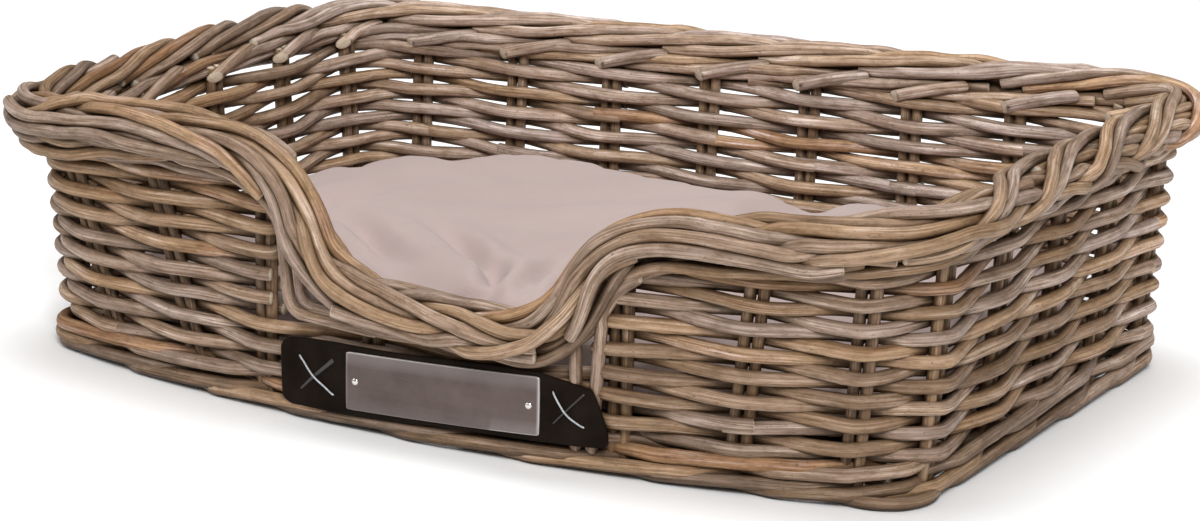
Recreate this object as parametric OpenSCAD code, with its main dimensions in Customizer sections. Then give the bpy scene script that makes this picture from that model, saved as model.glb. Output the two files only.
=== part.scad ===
// Wicker pet bed basket with a low front entrance, a loose cushion and a leather name tag.
// Millimetres, +Z up, the front faces -Y. The origin is the centre of the footprint on the floor.
//
// Every run of rods follows one kind of outline, called a plan: a rectangle with round corners whose
// front and back sides bow outward. A plan is [half_length, half_depth, corner_r, front_bow, back_bow],
// and an offset is measured from the plan outward, so all the rods of a wall are concentric.

/* [Overall] */
// Length of the walls' middle line at the floor
base_length = 608; // [560:2:640]
// Depth of the walls' middle line at the floor, without the bows
base_depth = 380; // [350:2:410]
// Length of the walls' middle line under the border
top_length = 630; // [610:2:640]
// Depth of the walls' middle line under the border, without the bows
top_depth = 398; // [380:2:410]
// How far the front wall bows out at the floor
base_front_bow = 36; // [20:1:40]
// How far the front wall bows out under the border
top_front_bow = 28; // [20:1:36]
// How far the back wall bows out
back_bow = 8; // [4:1:12]
// Corner radius of the walls' middle line
wall_corner_r = 30; // [26:1:40]

/* [Rods] */
// Diameter of a woven rod
rod_d = 7; // [6:0.1:7.2]
// Diameter of a stake
stake_d = 7; // [6:0.1:7.2]
// Distance from the stakes' middle to a woven rod's middle
weave_offset = 7.4; // [7.3:0.1:8]
// Distance between the middles of a pair's two stakes
pair_spacing = 7.6; // [7.3:0.1:9]
// Height of the lowest woven row
first_row_z = 15.2; // [15.2:0.1:16]
// Height from one row to the next
row_pitch = 14.2; // [13.6:0.1:14.2]
// Number of woven rows
row_count = 9; // [7:1:9]

/* [Border] */
// Length of the border's middle line
rim_length = 660; // [650:2:668]
// Depth of the border's middle line, without the bows
rim_depth = 418; // [410:2:424]
// How far the border bows out at the front
rim_front_bow = 27; // [20:1:34]
// Corner radius of the border's middle line
rim_corner_r = 52; // [46:1:60]
// Height of the border's middle line
rim_z = 155; // [154:1:160]
// Distance from the border's middle to each of its rods
ring_r = 14; // [13:0.5:15]
// Diameter of a border rod
border_rod_d = 8; // [7:0.1:8.5]

/* [Entrance] */
// Middle of the entrance, to the right of the basket's middle
entrance_x = 24; // [0:1:30]
// Half the length of the low level stretch
entrance_half = 45; // [35:1:55]
// Length over which the border sweeps from low to high
sweep_run = 108; // [96:1:116]
// Height of the border's middle line on the low stretch
entrance_z = 75; // [75:1:80]

/* [Name tag] */
// Length of the leather patch
patch_length = 226; // [200:1:240]
// Height of the leather patch
patch_height = 43; // [36:1:46]
// Thickness of the leather
leather_t = 2.5; // [1.5:0.1:3]
// Length of the metal plate
plate_length = 134; // [110:1:150]
// Height of the metal plate
plate_height = 33; // [26:1:36]
// Thickness of the metal plate
plate_t = 1; // [0.8:0.1:1.5]

/* [Cushion] */
// Height of the cushion from its underside to its crown
cushion_thickness = 58; // [50:1:62]
// Room between the cushion's edge and the walls' middle line
cushion_room = 16; // [15:1:20]
// Corner radius of the cushion
cushion_corner_r = 42; // [30:1:60]
// Thickness of the cover's cloth
cloth_t = 1.2; // [1:0.1:2]
// Length of the zip's chain
zip_length = 440; // [300:10:460]

/* [Hidden] */

// Space left between the ends of rods that butt, so that each rod stays a piece of its own
end_gap = 0.4;
// Rods laid end to end across the front wall, across the back wall and along each arc of a sweep
front_rods = 4;
back_rods = 2;
sweep_rods = 2;
// Facets of a long sweep and of a rod's section, for the preview
sweep_fn = 720;
rod_fn = 24;

border_rods = 9;
border_r = ring_r + border_rod_d / 2;

// The foot ring's rods are shaved flat underneath, which gives the basket its flat face
foot_d = 8;
foot_z = 3.6;
foot_offset = 4.3;

stick_d = 7;
stick_z = 11.3;
stick_pitch = 78.9;
stick_pairs = 8;
base_rod_d = 7;
base_lower_z = 4.2;
base_upper_z = 18.4;
base_rod_pitch = 15.2;
base_rod_rows = 27;
base_edge = -11.5;

// Places of the stake pairs: X of the foot and of the top on the front, where they fan out toward
// the corners, X on the back and Y on the sides
stake_bottom = 15;
front_left_pairs = [[-242, -280], [-169, -202], [-111, -111]];
front_right_pairs = [[137, 139], [209, 222], [275, 282]];
front_low_pairs = [[-30, -30], [55, 55]];
entrance_stakes = [-92, -84, 113, 121];
back_pairs = [-272, -194, -117, -39, 39, 117, 194, 272];
side_pairs = [-158, -79, 0, 79, 158];
row_end_reach = 8.5;

// The sweep of the border is two equal arcs, tangent to the level stretches
sweep_drop = rim_z - entrance_z;
sweep_turn = 2 * atan(sweep_drop / sweep_run);
sweep_r = sweep_run / 2 / sin(sweep_turn);

patch_z = 34;
patch_gap = 0.6;
patch_corner_r = 7;
pin_reach = 59;
pin_shank_d = 2.4;
pin_hole_d = 2.8;
pin_head_d = 6;
stitch_reach = 87;
stitch_d = 1.6;
stitch_half = 12;

cushion_z = 22.3;
cushion_band_low = 14;
cushion_band_high = 44;
cushion_inset = 34;
cushion_fn = 32;
fill_gap = 0.3;
zip_z = cushion_z + (cushion_band_low + cushion_band_high) / 2;
tape_height = 24;
tape_t = 0.8;
teeth_height = 5;
teeth_t = 1.6;
slider_length = 12;
slider_height = 8.4;
slider_wall = 1.1;
slider_play = 0.25;

rattan = [0.62, 0.52, 0.42];
rattan_dark = [0.50, 0.42, 0.35];
rattan_pale = [0.70, 0.62, 0.53];
leather_brown = [0.13, 0.10, 0.09];
plate_metal = [0.52, 0.48, 0.50];
pin_metal = [0.75, 0.74, 0.73];
thread_grey = [0.45, 0.46, 0.48];
cotton = [0.72, 0.63, 0.59];
fibre_white = [0.93, 0.93, 0.91];
zip_taupe = [0.58, 0.50, 0.46];

// ---- Plans ----

function mix(low, high, share) = low + (high - low) * share;

// Plan of the walls' middle line at height z
function wall_plan(z) = [
    mix(base_length, top_length, z / rim_z) / 2,
    mix(base_depth, top_depth, z / rim_z) / 2,
    wall_corner_r,
    mix(base_front_bow, top_front_bow, z / rim_z),
    back_bow
];

rim_plan = [rim_length / 2, rim_depth / 2, rim_corner_r, rim_front_bow, back_bow];

// A bowed side is an arc that meets both corners smoothly. It turns by this much each way.
function bow_turn(plan, bow) = 2 * atan(bow / (plan[0] - plan[2]));

function bow_r(plan, bow) = (plan[0] - plan[2]) / sin(bow_turn(plan, bow)) + plan[2];

// Distance from the plan's middle to the bow's centre, away from the bowed side
function bow_centre(plan, bow) =
    (bow_r(plan, bow) - plan[2]) * cos(bow_turn(plan, bow)) - (plan[1] - plan[2]);

function front_r(plan) = bow_r(plan, plan[3]);
function front_centre(plan) = bow_centre(plan, plan[3]);
function front_turn(plan) = bow_turn(plan, plan[3]);
function back_r(plan) = bow_r(plan, plan[4]);
function back_centre(plan) = -bow_centre(plan, plan[4]);
function back_turn(plan) = bow_turn(plan, plan[4]);

// Turn along the front, from straight ahead, at which an offset line reaches x
function front_at(plan, x, offset) = asin(x / (front_r(plan) + offset));

// Y of the front and of the back at x
function front_y(plan, x) = front_centre(plan) - sqrt(pow(front_r(plan), 2) - x * x);
function back_y(plan, x) = back_centre(plan) + sqrt(pow(back_r(plan), 2) - x * x);

// Height of the underside of the border over the front, at x
function border_under(x) =
    let (away = abs(x - entrance_x) - entrance_half,
         outer = sweep_r + border_r,
         inner = sweep_r - border_r)
    away <= 0 ? entrance_z - border_r
    : away <= outer * sin(sweep_turn) ? entrance_z + sweep_r - sqrt(outer * outer - away * away)
    : away < sweep_run ? rim_z - sweep_r + sqrt(inner * inner - pow(sweep_run - away, 2))
    : rim_z - border_r;

// How far beyond the entrance's middle a woven rod at height z has to stop
function row_stop(z) =
    let (rise = z + rod_d / 2 + 1 - (rim_z - sweep_r), inner = sweep_r - border_r)
    rise <= 0 ? 0
    : rise >= inner ? entrance_half + sweep_run
    : entrance_half + sweep_run - sqrt(inner * inner - rise * rise);

// ---- Rods ----

// Rods laid end to end along a level arc between two headings
module arc_rod(centre, radius, from, to, d, rods = 1) {
    trim = end_gap / 2 / radius * 180 / PI;
    turn = (to - from) / rods;
    for (i = [0 : rods - 1])
        translate(centre)
            rotate([0, 0, from + i * turn + trim])
                rotate_extrude(angle = turn - 2 * trim, $fn = sweep_fn)
                    translate([radius, 0])
                        circle(d = d, $fn = rod_fn);
}

// A straight rod between two points
module straight_rod(from, to, d, gap = end_gap) {
    span = to - from;
    length = norm(span);
    translate(from)
        rotate([0, acos(span[2] / length), atan2(span[1], span[0])])
            translate([0, 0, gap / 2])
                cylinder(h = length - gap, d = d, $fn = rod_fn);
}

// The four corners, the back and the two sides of a ring at height z
module ring_sides(plan, offset, z, d) {
    half_x = plan[0] - plan[2];
    half_y = plan[1] - plan[2];
    bend = plan[2] + offset;
    turn_f = front_turn(plan);
    turn_b = back_turn(plan);
    arc_rod([half_x, -half_y, z], bend, -90 + turn_f, 0, d);
    arc_rod([half_x, half_y, z], bend, 0, 90 - turn_b, d);
    arc_rod([-half_x, half_y, z], bend, 90 + turn_b, 180, d);
    arc_rod([-half_x, -half_y, z], bend, 180, 270 - turn_f, d);
    arc_rod([0, back_centre(plan), z], back_r(plan) + offset, 90 - turn_b, 90 + turn_b, d, back_rods);
    for (side = [-1, 1])
        straight_rod([side * (plan[0] + offset), -half_y, z], [side * (plan[0] + offset), half_y, z], d);
}

// A stretch of the front between two turns
module front_run(plan, offset, z, d, from, to, rods = 1) {
    arc_rod([0, front_centre(plan), z], front_r(plan) + offset, -90 + from, -90 + to, d, rods);
}

module whole_front(plan, offset, z, d) {
    front_run(plan, offset, z, d, -front_turn(plan), front_turn(plan), front_rods);
}

// ---- Walls ----

// A woven rod round the walls: it crosses the front only below the entrance
module wall_rod(offset, z) {
    plan = wall_plan(z);
    open_front = z + rod_d / 2 > entrance_z - border_r + 1;
    ring_sides(plan, offset, z, rod_d);
    if (open_front) {
        left_end = max(entrance_x - front_left_pairs[2][0] - row_end_reach, row_stop(z));
        right_end = max(front_right_pairs[0][0] - entrance_x - row_end_reach, row_stop(z));
        front_run(plan, offset, z, rod_d, -front_turn(plan), front_at(plan, entrance_x - left_end, offset));
        front_run(plan, offset, z, rod_d, front_at(plan, entrance_x + right_end, offset), front_turn(plan));
    } else {
        whole_front(plan, offset, z, rod_d);
    }
}

// One woven row is a pair of rods: the low one lies outside the stakes and the high one inside them
module weave_row(i) {
    z = first_row_z + (i - 1) * row_pitch;
    rise = rod_d / 2 - 0.1;
    color(rattan) {
        wall_rod(weave_offset, z - rise);
        wall_rod(-weave_offset, z + rise);
    }
}

// A stake from the base to just under the border, at a place given for its foot and its top
module stake(foot, top, height) {
    straight_rod([foot[0], foot[1], stake_bottom], [top[0], top[1], height], stake_d, 0);
}

function front_place(x, z) = [x, front_y(wall_plan(z), x)];
function back_place(x, z) = [x, back_y(wall_plan(z), x)];
function side_place(side, y, z) = [side * wall_plan(z)[0], y];

module front_stake(foot_x, top_x) {
    top = border_under(top_x + (top_x < entrance_x ? stake_d / 2 : -stake_d / 2)) - 1;
    stake(front_place(foot_x, stake_bottom), front_place(top_x, top), top);
}

module front_pairs(places) {
    color(rattan_dark)
        for (place = places, side = [-0.5, 0.5])
            front_stake(place[0] + side * pair_spacing, place[1] + side * pair_spacing);
}

module stakes_back() {
    top = rim_z - border_r - 1;
    color(rattan_dark)
        for (x = back_pairs, side = [-0.5, 0.5])
            let (place = x + side * pair_spacing)
                stake(back_place(place, stake_bottom), back_place(place, top), top);
}

module side_stakes(side) {
    top = rim_z - border_r - 1;
    color(rattan_dark)
        for (y = side_pairs, shift = [-0.5, 0.5])
            let (place = y + shift * pair_spacing)
                stake(side_place(side, place, stake_bottom), side_place(side, place, top), top);
}

// Single rods that stiffen the edge of the entrance beside the end pairs
module entrance_rods() {
    color(rattan_pale)
        for (x = entrance_stakes)
            front_stake(x, x);
}

// ---- Border ----

// The sweep from the low stretch up to the rim, drawn for the right side of the entrance
module entrance_sweep(up, out) {
    bottom = sweep_r - up;
    top = sweep_r + up;
    translate([0, -out, 0])
        rotate([90, 0, 0]) {
            arc_rod([-sweep_run / 2, sweep_r - sweep_drop / 2, 0], bottom,
                    -90, -90 + sweep_turn, border_rod_d, sweep_rods);
            arc_rod([sweep_run / 2, sweep_drop / 2 - sweep_r, 0], top,
                    90, 90 + sweep_turn, border_rod_d, sweep_rods);
        }
}

// Border rod i of the ring of rods, counted outward from the top
module border_rod(i) {
    heading = (i - 1) * 360 / border_rods;
    up = ring_r * cos(heading);
    out = ring_r * sin(heading);
    radius = front_r(rim_plan);
    centre = front_centre(rim_plan);
    half_sweep = atan(sweep_run / 2 / (radius + out));
    color(rattan_pale) {
        ring_sides(rim_plan, out, rim_z + up, border_rod_d);
        for (side = [-1, 1]) {
            middle = asin((entrance_x + side * (entrance_half + sweep_run / 2)) / radius);
            translate([radius * sin(middle), centre - radius * cos(middle), (rim_z + entrance_z) / 2])
                rotate([0, 0, middle])
                    mirror([side < 0 ? 1 : 0, 0, 0])
                        entrance_sweep(up, out);
        }
        left = asin((entrance_x - entrance_half - sweep_run / 2) / radius);
        right = asin((entrance_x + entrance_half + sweep_run / 2) / radius);
        front_run(rim_plan, out, rim_z + up, border_rod_d, -front_turn(rim_plan), left - half_sweep);
        front_run(rim_plan, out, rim_z + up, border_rod_d, right + half_sweep, front_turn(rim_plan));
        front_run(rim_plan, out, entrance_z + up, border_rod_d, left + half_sweep, right - half_sweep);
    }
}

// Trimmed ends of the border's rods, lying against the inside of the border beside the stakes. Their
// places are drawn in from the stakes' ones, so that they keep clear of the border's round corners.
module border_cut_ends() {
    end_d = 7;
    length = 24;
    draw_in = 0.92;
    reach = border_r + end_d / 2 + 1.4;
    inside = reach * sin(100);
    z = rim_z + reach * cos(100);
    color(rattan_pale) {
        for (place = back_pairs)
            let (x = place * draw_in, y = back_y(rim_plan, x) - inside - 0.6)
                straight_rod([x - length, y, z - 3], [x, y, z], end_d);
        for (side = [-1, 1], place = side_pairs)
            let (x = side * (rim_plan[0] - inside), y = place * draw_in)
                straight_rod([x, y - length / 2, z - 3], [x, y + length / 2, z], end_d);
    }
}

// ---- Base ----

module foot_ring(offset) {
    color(rattan_dark)
        difference() {
            union() {
                ring_sides(wall_plan(0), offset, foot_z, foot_d);
                whole_front(wall_plan(0), offset, foot_z, foot_d);
            }
            translate([-base_length, -base_length, -foot_d])
                cube([2 * base_length, 2 * base_length, foot_d]);
        }
}

// Pairs of sticks from the front wall to the back wall, which carry the woven base
module base_sticks() {
    plan = wall_plan(stick_z);
    color(rattan_dark)
        for (i = [0 : stick_pairs - 1], side = [-0.5, 0.5])
            let (x = (i - (stick_pairs - 1) / 2) * stick_pitch + side * pair_spacing)
                straight_rod([x, front_y(plan, x), stick_z], [x, back_y(plan, x), stick_z], stick_d, 0);
}

// Half the length of a base rod at y, inside the walls
function base_half(y) =
    let (plan = wall_plan(base_upper_z),
         edge = base_rod_d / 2,
         reach = abs(y) + edge,
         half_x = plan[0] - plan[2],
         past = max(0, reach - (plan[1] - plan[2])),
         bend = plan[2] + base_edge,
         bow = y < 0 ? plan[3] : plan[4],
         radius = bow_r(plan, bow) + base_edge,
         away = reach + bow_centre(plan, bow))
    past == 0 ? plan[0] + base_edge
    : past < bend * cos(bow_turn(plan, bow)) ? half_x + sqrt(bend * bend - past * past)
    : sqrt(max(0, radius * radius - away * away));

// Lengthwise base rods: every second one passes over the sticks and the others under them
module base_weave(first, z) {
    front = front_y(wall_plan(z), 0) - base_edge + base_rod_d;
    color(rattan)
        for (i = [first : 2 : base_rod_rows - 1])
            let (y = front + i * base_rod_pitch, half = base_half(y))
                if (half > base_rod_pitch)
                    straight_rod([-half, y, z], [half, y, z], base_rod_d);
}

// ---- Name tag ----

// The tag lies on the front wall's outer rods, so its layers are concentric with them
tag_plan = wall_plan(patch_z);
tag_r = front_r(tag_plan) + weave_offset + rod_d / 2 + patch_gap;
tag_turn = asin(entrance_x / tag_r);

// A curved sheet with round corners, standing proud of the rods by `proud`
module curved_sheet(length, height, corner_r, proud, thickness) {
    intersection() {
        translate([0, front_centre(tag_plan), patch_z - height])
            difference() {
                cylinder(r = tag_r + proud + thickness, h = 2 * height, $fn = sweep_fn);
                translate([0, 0, -1])
                    cylinder(r = tag_r + proud, h = 2 * height + 2, $fn = sweep_fn);
            }
        translate([entrance_x, 0, patch_z])
            rotate([90, 0, 0])
                linear_extrude(height = tag_r)
                    round_rectangle(length, height, corner_r);
    }
}

module round_rectangle(length, height, corner_r) {
    square([length - 2 * corner_r, height], center = true);
    square([length, height - 2 * corner_r], center = true);
    for (x = [-1, 1], y = [-1, 1])
        translate([x * (length / 2 - corner_r), y * (height / 2 - corner_r)])
            circle(r = corner_r, $fn = 32);
}

// Puts its children on the tag at a distance along it, with -Y as the way out
module on_tag(along, proud = 0) {
    turn = tag_turn + along / tag_r * 180 / PI;
    radius = tag_r + proud;
    translate([radius * sin(turn), front_centre(tag_plan) - radius * cos(turn), patch_z])
        rotate([0, 0, turn])
            children();
}

module pin_holes() {
    for (side = [-1, 1])
        on_tag(side * pin_reach)
            rotate([90, 0, 0])
                translate([0, 0, -5])
                    cylinder(d = pin_hole_d, h = 15, $fn = 32);
}

module leather_patch() {
    color(leather_brown)
        difference() {
            curved_sheet(patch_length, patch_height, patch_corner_r, 0, leather_t);
            pin_holes();
        }
}

module name_plate() {
    color(plate_metal)
        difference() {
            curved_sheet(plate_length, plate_height, 1.5, leather_t + 0.1, plate_t);
            pin_holes();
        }
}

module plate_pins() {
    face = leather_t + 0.2 + plate_t;
    dome_h = 1.6;
    dome_r = (pow(pin_head_d / 2, 2) + dome_h * dome_h) / (2 * dome_h);
    color(pin_metal)
        for (side = [-1, 1])
            on_tag(side * pin_reach, face)
                rotate([90, 0, 0]) {
                    translate([0, 0, -face])
                        cylinder(d = pin_shank_d, h = face + 0.2, $fn = 32);
                    intersection() {
                        translate([0, 0, dome_h - dome_r])
                            sphere(r = dome_r, $fn = 48);
                        cylinder(d = pin_head_d, h = dome_h, $fn = 48);
                    }
                }
}

// A cross of two waxed threads, one over the other
module cross_stitch(along) {
    color(thread_grey)
        for (lean = [-1, 1])
            on_tag(along, leather_t + 0.1 + (lean > 0 ? 1.5 : 0.5) * stitch_d)
                straight_rod([-stitch_half, 0, -lean * stitch_half], [stitch_half, 0, lean * stitch_half],
                             stitch_d, 0);
}

// ---- Cushion ----

// Outline of the cushion, pulled in from the wall's inside
module cushion_outline(inset) {
    plan = wall_plan(cushion_z);
    room = cushion_room + inset;
    half_x = plan[0] - cushion_room - cushion_corner_r;
    back = plan[1] - room;
    bend = cushion_corner_r - inset;
    hull() {
        for (side = [-1, 1]) {
            translate([side * half_x, plan[1] - cushion_room - cushion_corner_r])
                circle(r = bend, $fn = cushion_fn);
            translate([side * half_x, -(plan[1] - cushion_room - cushion_corner_r)])
                circle(r = bend, $fn = cushion_fn);
        }
        for (x = [-200 : 50 : 200])
            translate([x, front_y(plan, x) + room + bend])
                circle(r = bend, $fn = cushion_fn);
        translate([-half_x, back - 1])
            square([2 * half_x, 1]);
    }
}

// The cushion's body, smaller by `skin` all round: an upright band with a soft slope above and below
module cushion_body(skin) {
    hull() {
        translate([0, 0, cushion_z + cushion_band_low])
            linear_extrude(height = cushion_band_high - cushion_band_low)
                cushion_outline(skin);
        translate([0, 0, cushion_z + skin])
            linear_extrude(height = cushion_thickness - 2 * skin)
                cushion_outline(cushion_inset + skin);
    }
}

module cushion_cover() {
    color(cotton)
        difference() {
            cushion_body(0);
            cushion_body(cloth_t);
        }
}

module cushion_filling() {
    color(fibre_white)
        cushion_body(cloth_t + fill_gap);
}

cushion_back = wall_plan(cushion_z)[1] - cushion_room;

module zip_tape() {
    color(zip_taupe)
        translate([-zip_length / 2 - 10, cushion_back + 0.1, zip_z - tape_height / 2])
            cube([zip_length + 20, tape_t, tape_height]);
}

module zip_teeth() {
    color(zip_taupe)
        translate([-zip_length / 2, cushion_back + 0.1 + tape_t, zip_z - teeth_height / 2])
            cube([zip_length, teeth_t, teeth_height]);
}

// The slider is a channel that straddles the chain. It closes the zip at the right end.
module zip_slider() {
    right = zip_length / 2;
    face = cushion_back + 0.1 + tape_t + slider_play;
    depth = teeth_t + slider_wall;
    color(pin_metal)
        difference() {
            translate([right - slider_length, face, zip_z - slider_height / 2])
                cube([slider_length, depth, slider_height]);
            translate([right - slider_length - 1, face - 1, zip_z - teeth_height / 2 - slider_play])
                cube([slider_length + 2, 1 + teeth_t, teeth_height + 2 * slider_play]);
        }
}

// The front bows out further than the back: this puts the footprint's centre at the origin
module placed() {
    translate([0, (rim_front_bow - back_bow) / 2, 0])
        children();
}

for (i = [1 : row_count])
    placed() weave_row(i);
for (i = [1 : border_rods])
    placed() border_rod(i);
placed() border_cut_ends();
placed() stakes_back();
placed() side_stakes(-1);  // stakes_left
placed() side_stakes(1);  // stakes_right
placed() front_pairs(front_left_pairs);  // stakes_front_left
placed() front_pairs(front_right_pairs);  // stakes_front_right
placed() front_pairs(front_low_pairs);  // stakes_front_low
placed() entrance_rods();
placed() foot_ring(foot_offset);  // foot_ring_outer
placed() foot_ring(-foot_offset);  // foot_ring_inner
placed() base_sticks();
placed() base_weave(0, base_upper_z);  // base_weave_upper
placed() base_weave(1, base_lower_z);  // base_weave_lower
placed() leather_patch();
placed() name_plate();
placed() plate_pins();
placed() cross_stitch(-stitch_reach);  // stitch_left
placed() cross_stitch(stitch_reach);  // stitch_right
placed() cushion_cover();
placed() cushion_filling();
placed() zip_tape();
placed() zip_teeth();
placed() zip_slider();
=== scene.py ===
"""Looks of the woven rattan pet bed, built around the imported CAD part.

Lengths in this script are millimetres in the part's frame, +Z up with the front toward -Y. They turn
into metres when a mesh is made.
"""

import math

import bpy
import numpy as np
from mathutils import Matrix, Vector


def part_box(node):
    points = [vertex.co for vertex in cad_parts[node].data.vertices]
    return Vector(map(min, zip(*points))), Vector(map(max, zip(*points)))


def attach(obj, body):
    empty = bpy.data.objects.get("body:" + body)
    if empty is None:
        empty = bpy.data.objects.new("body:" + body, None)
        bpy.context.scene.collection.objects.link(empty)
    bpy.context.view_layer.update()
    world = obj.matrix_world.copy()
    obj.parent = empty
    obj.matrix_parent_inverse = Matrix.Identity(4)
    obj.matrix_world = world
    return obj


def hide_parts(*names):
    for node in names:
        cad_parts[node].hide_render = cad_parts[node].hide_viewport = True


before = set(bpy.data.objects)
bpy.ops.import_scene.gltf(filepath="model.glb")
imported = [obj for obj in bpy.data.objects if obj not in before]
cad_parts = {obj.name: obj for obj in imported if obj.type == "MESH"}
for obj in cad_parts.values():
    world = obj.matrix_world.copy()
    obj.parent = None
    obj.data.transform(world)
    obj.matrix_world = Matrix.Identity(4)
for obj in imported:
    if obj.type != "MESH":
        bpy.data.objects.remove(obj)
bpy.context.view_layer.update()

MM = 0.001

# ---- The basket's plan, as the CAD part has it ----

CENTRE_Y = 9.5
RIM_Z = 155
WALL_FOOT = (304, 190, 36)
WALL_TOP = (315, 199, 28)
WALL_CORNER = 30
RIM = (330, 209, 27)
RIM_CORNER = 52
BACK_BOW = 8
ENTRANCE_X = 24
ENTRANCE_HALF = 45
SWEEP_RUN = 108
ENTRANCE_Z = 75
BORDER_R = 18


class Plan:
    """A rectangle with round corners and bowed front and back.

    A distance s along it starts at the front's middle and runs counterclockwise, seen from above.
    """

    def __init__(self, half_x, half_y, corner, front_bow, back_bow=BACK_BOW):
        self.h = half_x - corner
        self.k = half_y - corner
        self.a = half_x
        turn_f, self.front_r, centre_f = self.bow(front_bow, half_y, corner)
        turn_b, self.back_r, centre_b = self.bow(back_bow, half_y, corner)
        self.front_c = centre_f
        self.back_c = -centre_b
        quarter = math.pi / 2
        arcs = [
            (0, centre_f, self.front_r, -quarter, turn_f),
            (self.h, -self.k, corner, turn_f - quarter, quarter - turn_f),
            None,
            (self.h, self.k, corner, 0, quarter - turn_b),
            (0, self.back_c, self.back_r, quarter - turn_b, 2 * turn_b),
            (-self.h, self.k, corner, quarter + turn_b, quarter - turn_b),
            None,
            (-self.h, -self.k, corner, math.pi, quarter - turn_f),
            (0, centre_f, self.front_r, 1.5 * math.pi - turn_f, turn_f),
        ]
        self.arcs = arcs
        lengths = [2 * self.k if arc is None else arc[2] * arc[4] for arc in arcs]
        self.starts = np.concatenate([[0], np.cumsum(lengths)])
        self.length = self.starts[-1]

    def bow(self, bow, half_y, corner):
        turn = 2 * math.atan(bow / self.h)
        radius = self.h / math.sin(turn) + corner
        return turn, radius, (radius - corner) * math.cos(turn) - (half_y - corner)

    def at(self, s, out=0.0):
        """The points at distances s, moved outward by out, and the outward directions."""
        s = np.mod(np.asarray(s, float), self.length)
        out = np.broadcast_to(np.asarray(out, float), s.shape)
        place = np.clip(np.searchsorted(self.starts, s, side="right") - 1, 0, 8)
        points = np.zeros((len(s), 2))
        normals = np.zeros((len(s), 2))
        for i, arc in enumerate(self.arcs):
            here = place == i
            along = s[here] - self.starts[i]
            if arc is None:
                side = 1 if i == 2 else -1
                normals[here] = (side, 0)
                points[here, 0] = side * (self.a + out[here])
                points[here, 1] = side * (along - self.k)
                continue
            cx, cy, radius, start, _turn = arc
            angle = start + along / radius
            normals[here] = np.stack([np.cos(angle), np.sin(angle)], 1)
            points[here] = (cx, cy) + normals[here] * (radius + out[here])[:, None]
        return points, normals

    def front(self, x):
        """Distance of the front's point at x."""
        return self.front_r * math.asin(x / self.front_r)

    def back(self, x):
        return (self.starts[4] + self.starts[5]) / 2 - self.back_r * math.asin(x / self.back_r)

    def side(self, side, y):
        return self.starts[2] + self.k + y if side > 0 else self.starts[6] + self.k - y


def mix(low, high, share):
    return low + (high - low) * share


def wall_plan(z):
    share = z / RIM_Z
    half_x, half_y, bow = (mix(a, b, share) for a, b in zip(WALL_FOOT, WALL_TOP))
    return Plan(half_x, half_y, WALL_CORNER, bow)


rim_plan = Plan(RIM[0], RIM[1], RIM_CORNER, RIM[2])

# ---- Stake pairs, counted counterclockwise from the right of the entrance's middle ----

FRONT_RIGHT = [(55, 55), (137, 139), (209, 222), (275, 286)]
SIDE = [-158, -79, 0, 79, 158]
BACK = [272, 194, 117, 39, -39, -117, -194, -272]
FRONT_LEFT = [(-242, -280), (-169, -202), (-111, -111), (-30, -30)]
PAIRS = 26
# The usual distance from one stake pair to the next
PAIR_STEP = 79
FOOT_Z = 15
TOP_Z = 136


def pair_places(plan, z):
    """Distance along the plan of each stake pair at height z."""
    rise = (z - FOOT_Z) / (TOP_Z - FOOT_Z)
    lean = [plan.front(mix(foot, top, rise)) for foot, top in FRONT_RIGHT]
    right = [plan.side(1, y) for y in SIDE]
    back = [plan.back(x) for x in BACK]
    left = [plan.side(-1, -y) for y in SIDE]
    lean_left = [plan.length + plan.front(mix(foot, top, rise)) for foot, top in FRONT_LEFT]
    return np.array(lean + right + back + left + lean_left)


# ---- Meshes of rods ----


def smooth_noise(random, count, step, reach):
    """A smooth random line of count values, with a new random value every step values."""
    knots = random.uniform(-1, 1, max(4, int(count / step) + 4))
    x = np.arange(count) / step + random.uniform(0, 1)
    i = x.astype(int)
    t = x - i
    t = t * t * (3 - 2 * t)
    return reach * (knots[i] * (1 - t) + knots[i + 1] * t)


def resample(points, step):
    """The same line with points step apart."""
    gaps = np.linalg.norm(np.diff(points, axis=0), axis=1)
    along = np.concatenate([[0], np.cumsum(gaps)])
    count = max(2, int(round(along[-1] / step)) + 1)
    places = np.linspace(0, along[-1], count)
    return np.stack([np.interp(places, along, points[:, i]) for i in range(3)], 1)


# Painted light: how much lighter the rods are made from the middle to the back wall, standing in for the
# light on the back wall, and how far back that is
BACK_PAINTED_LIGHT = 2.2
BACK_REACH = 190


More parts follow.
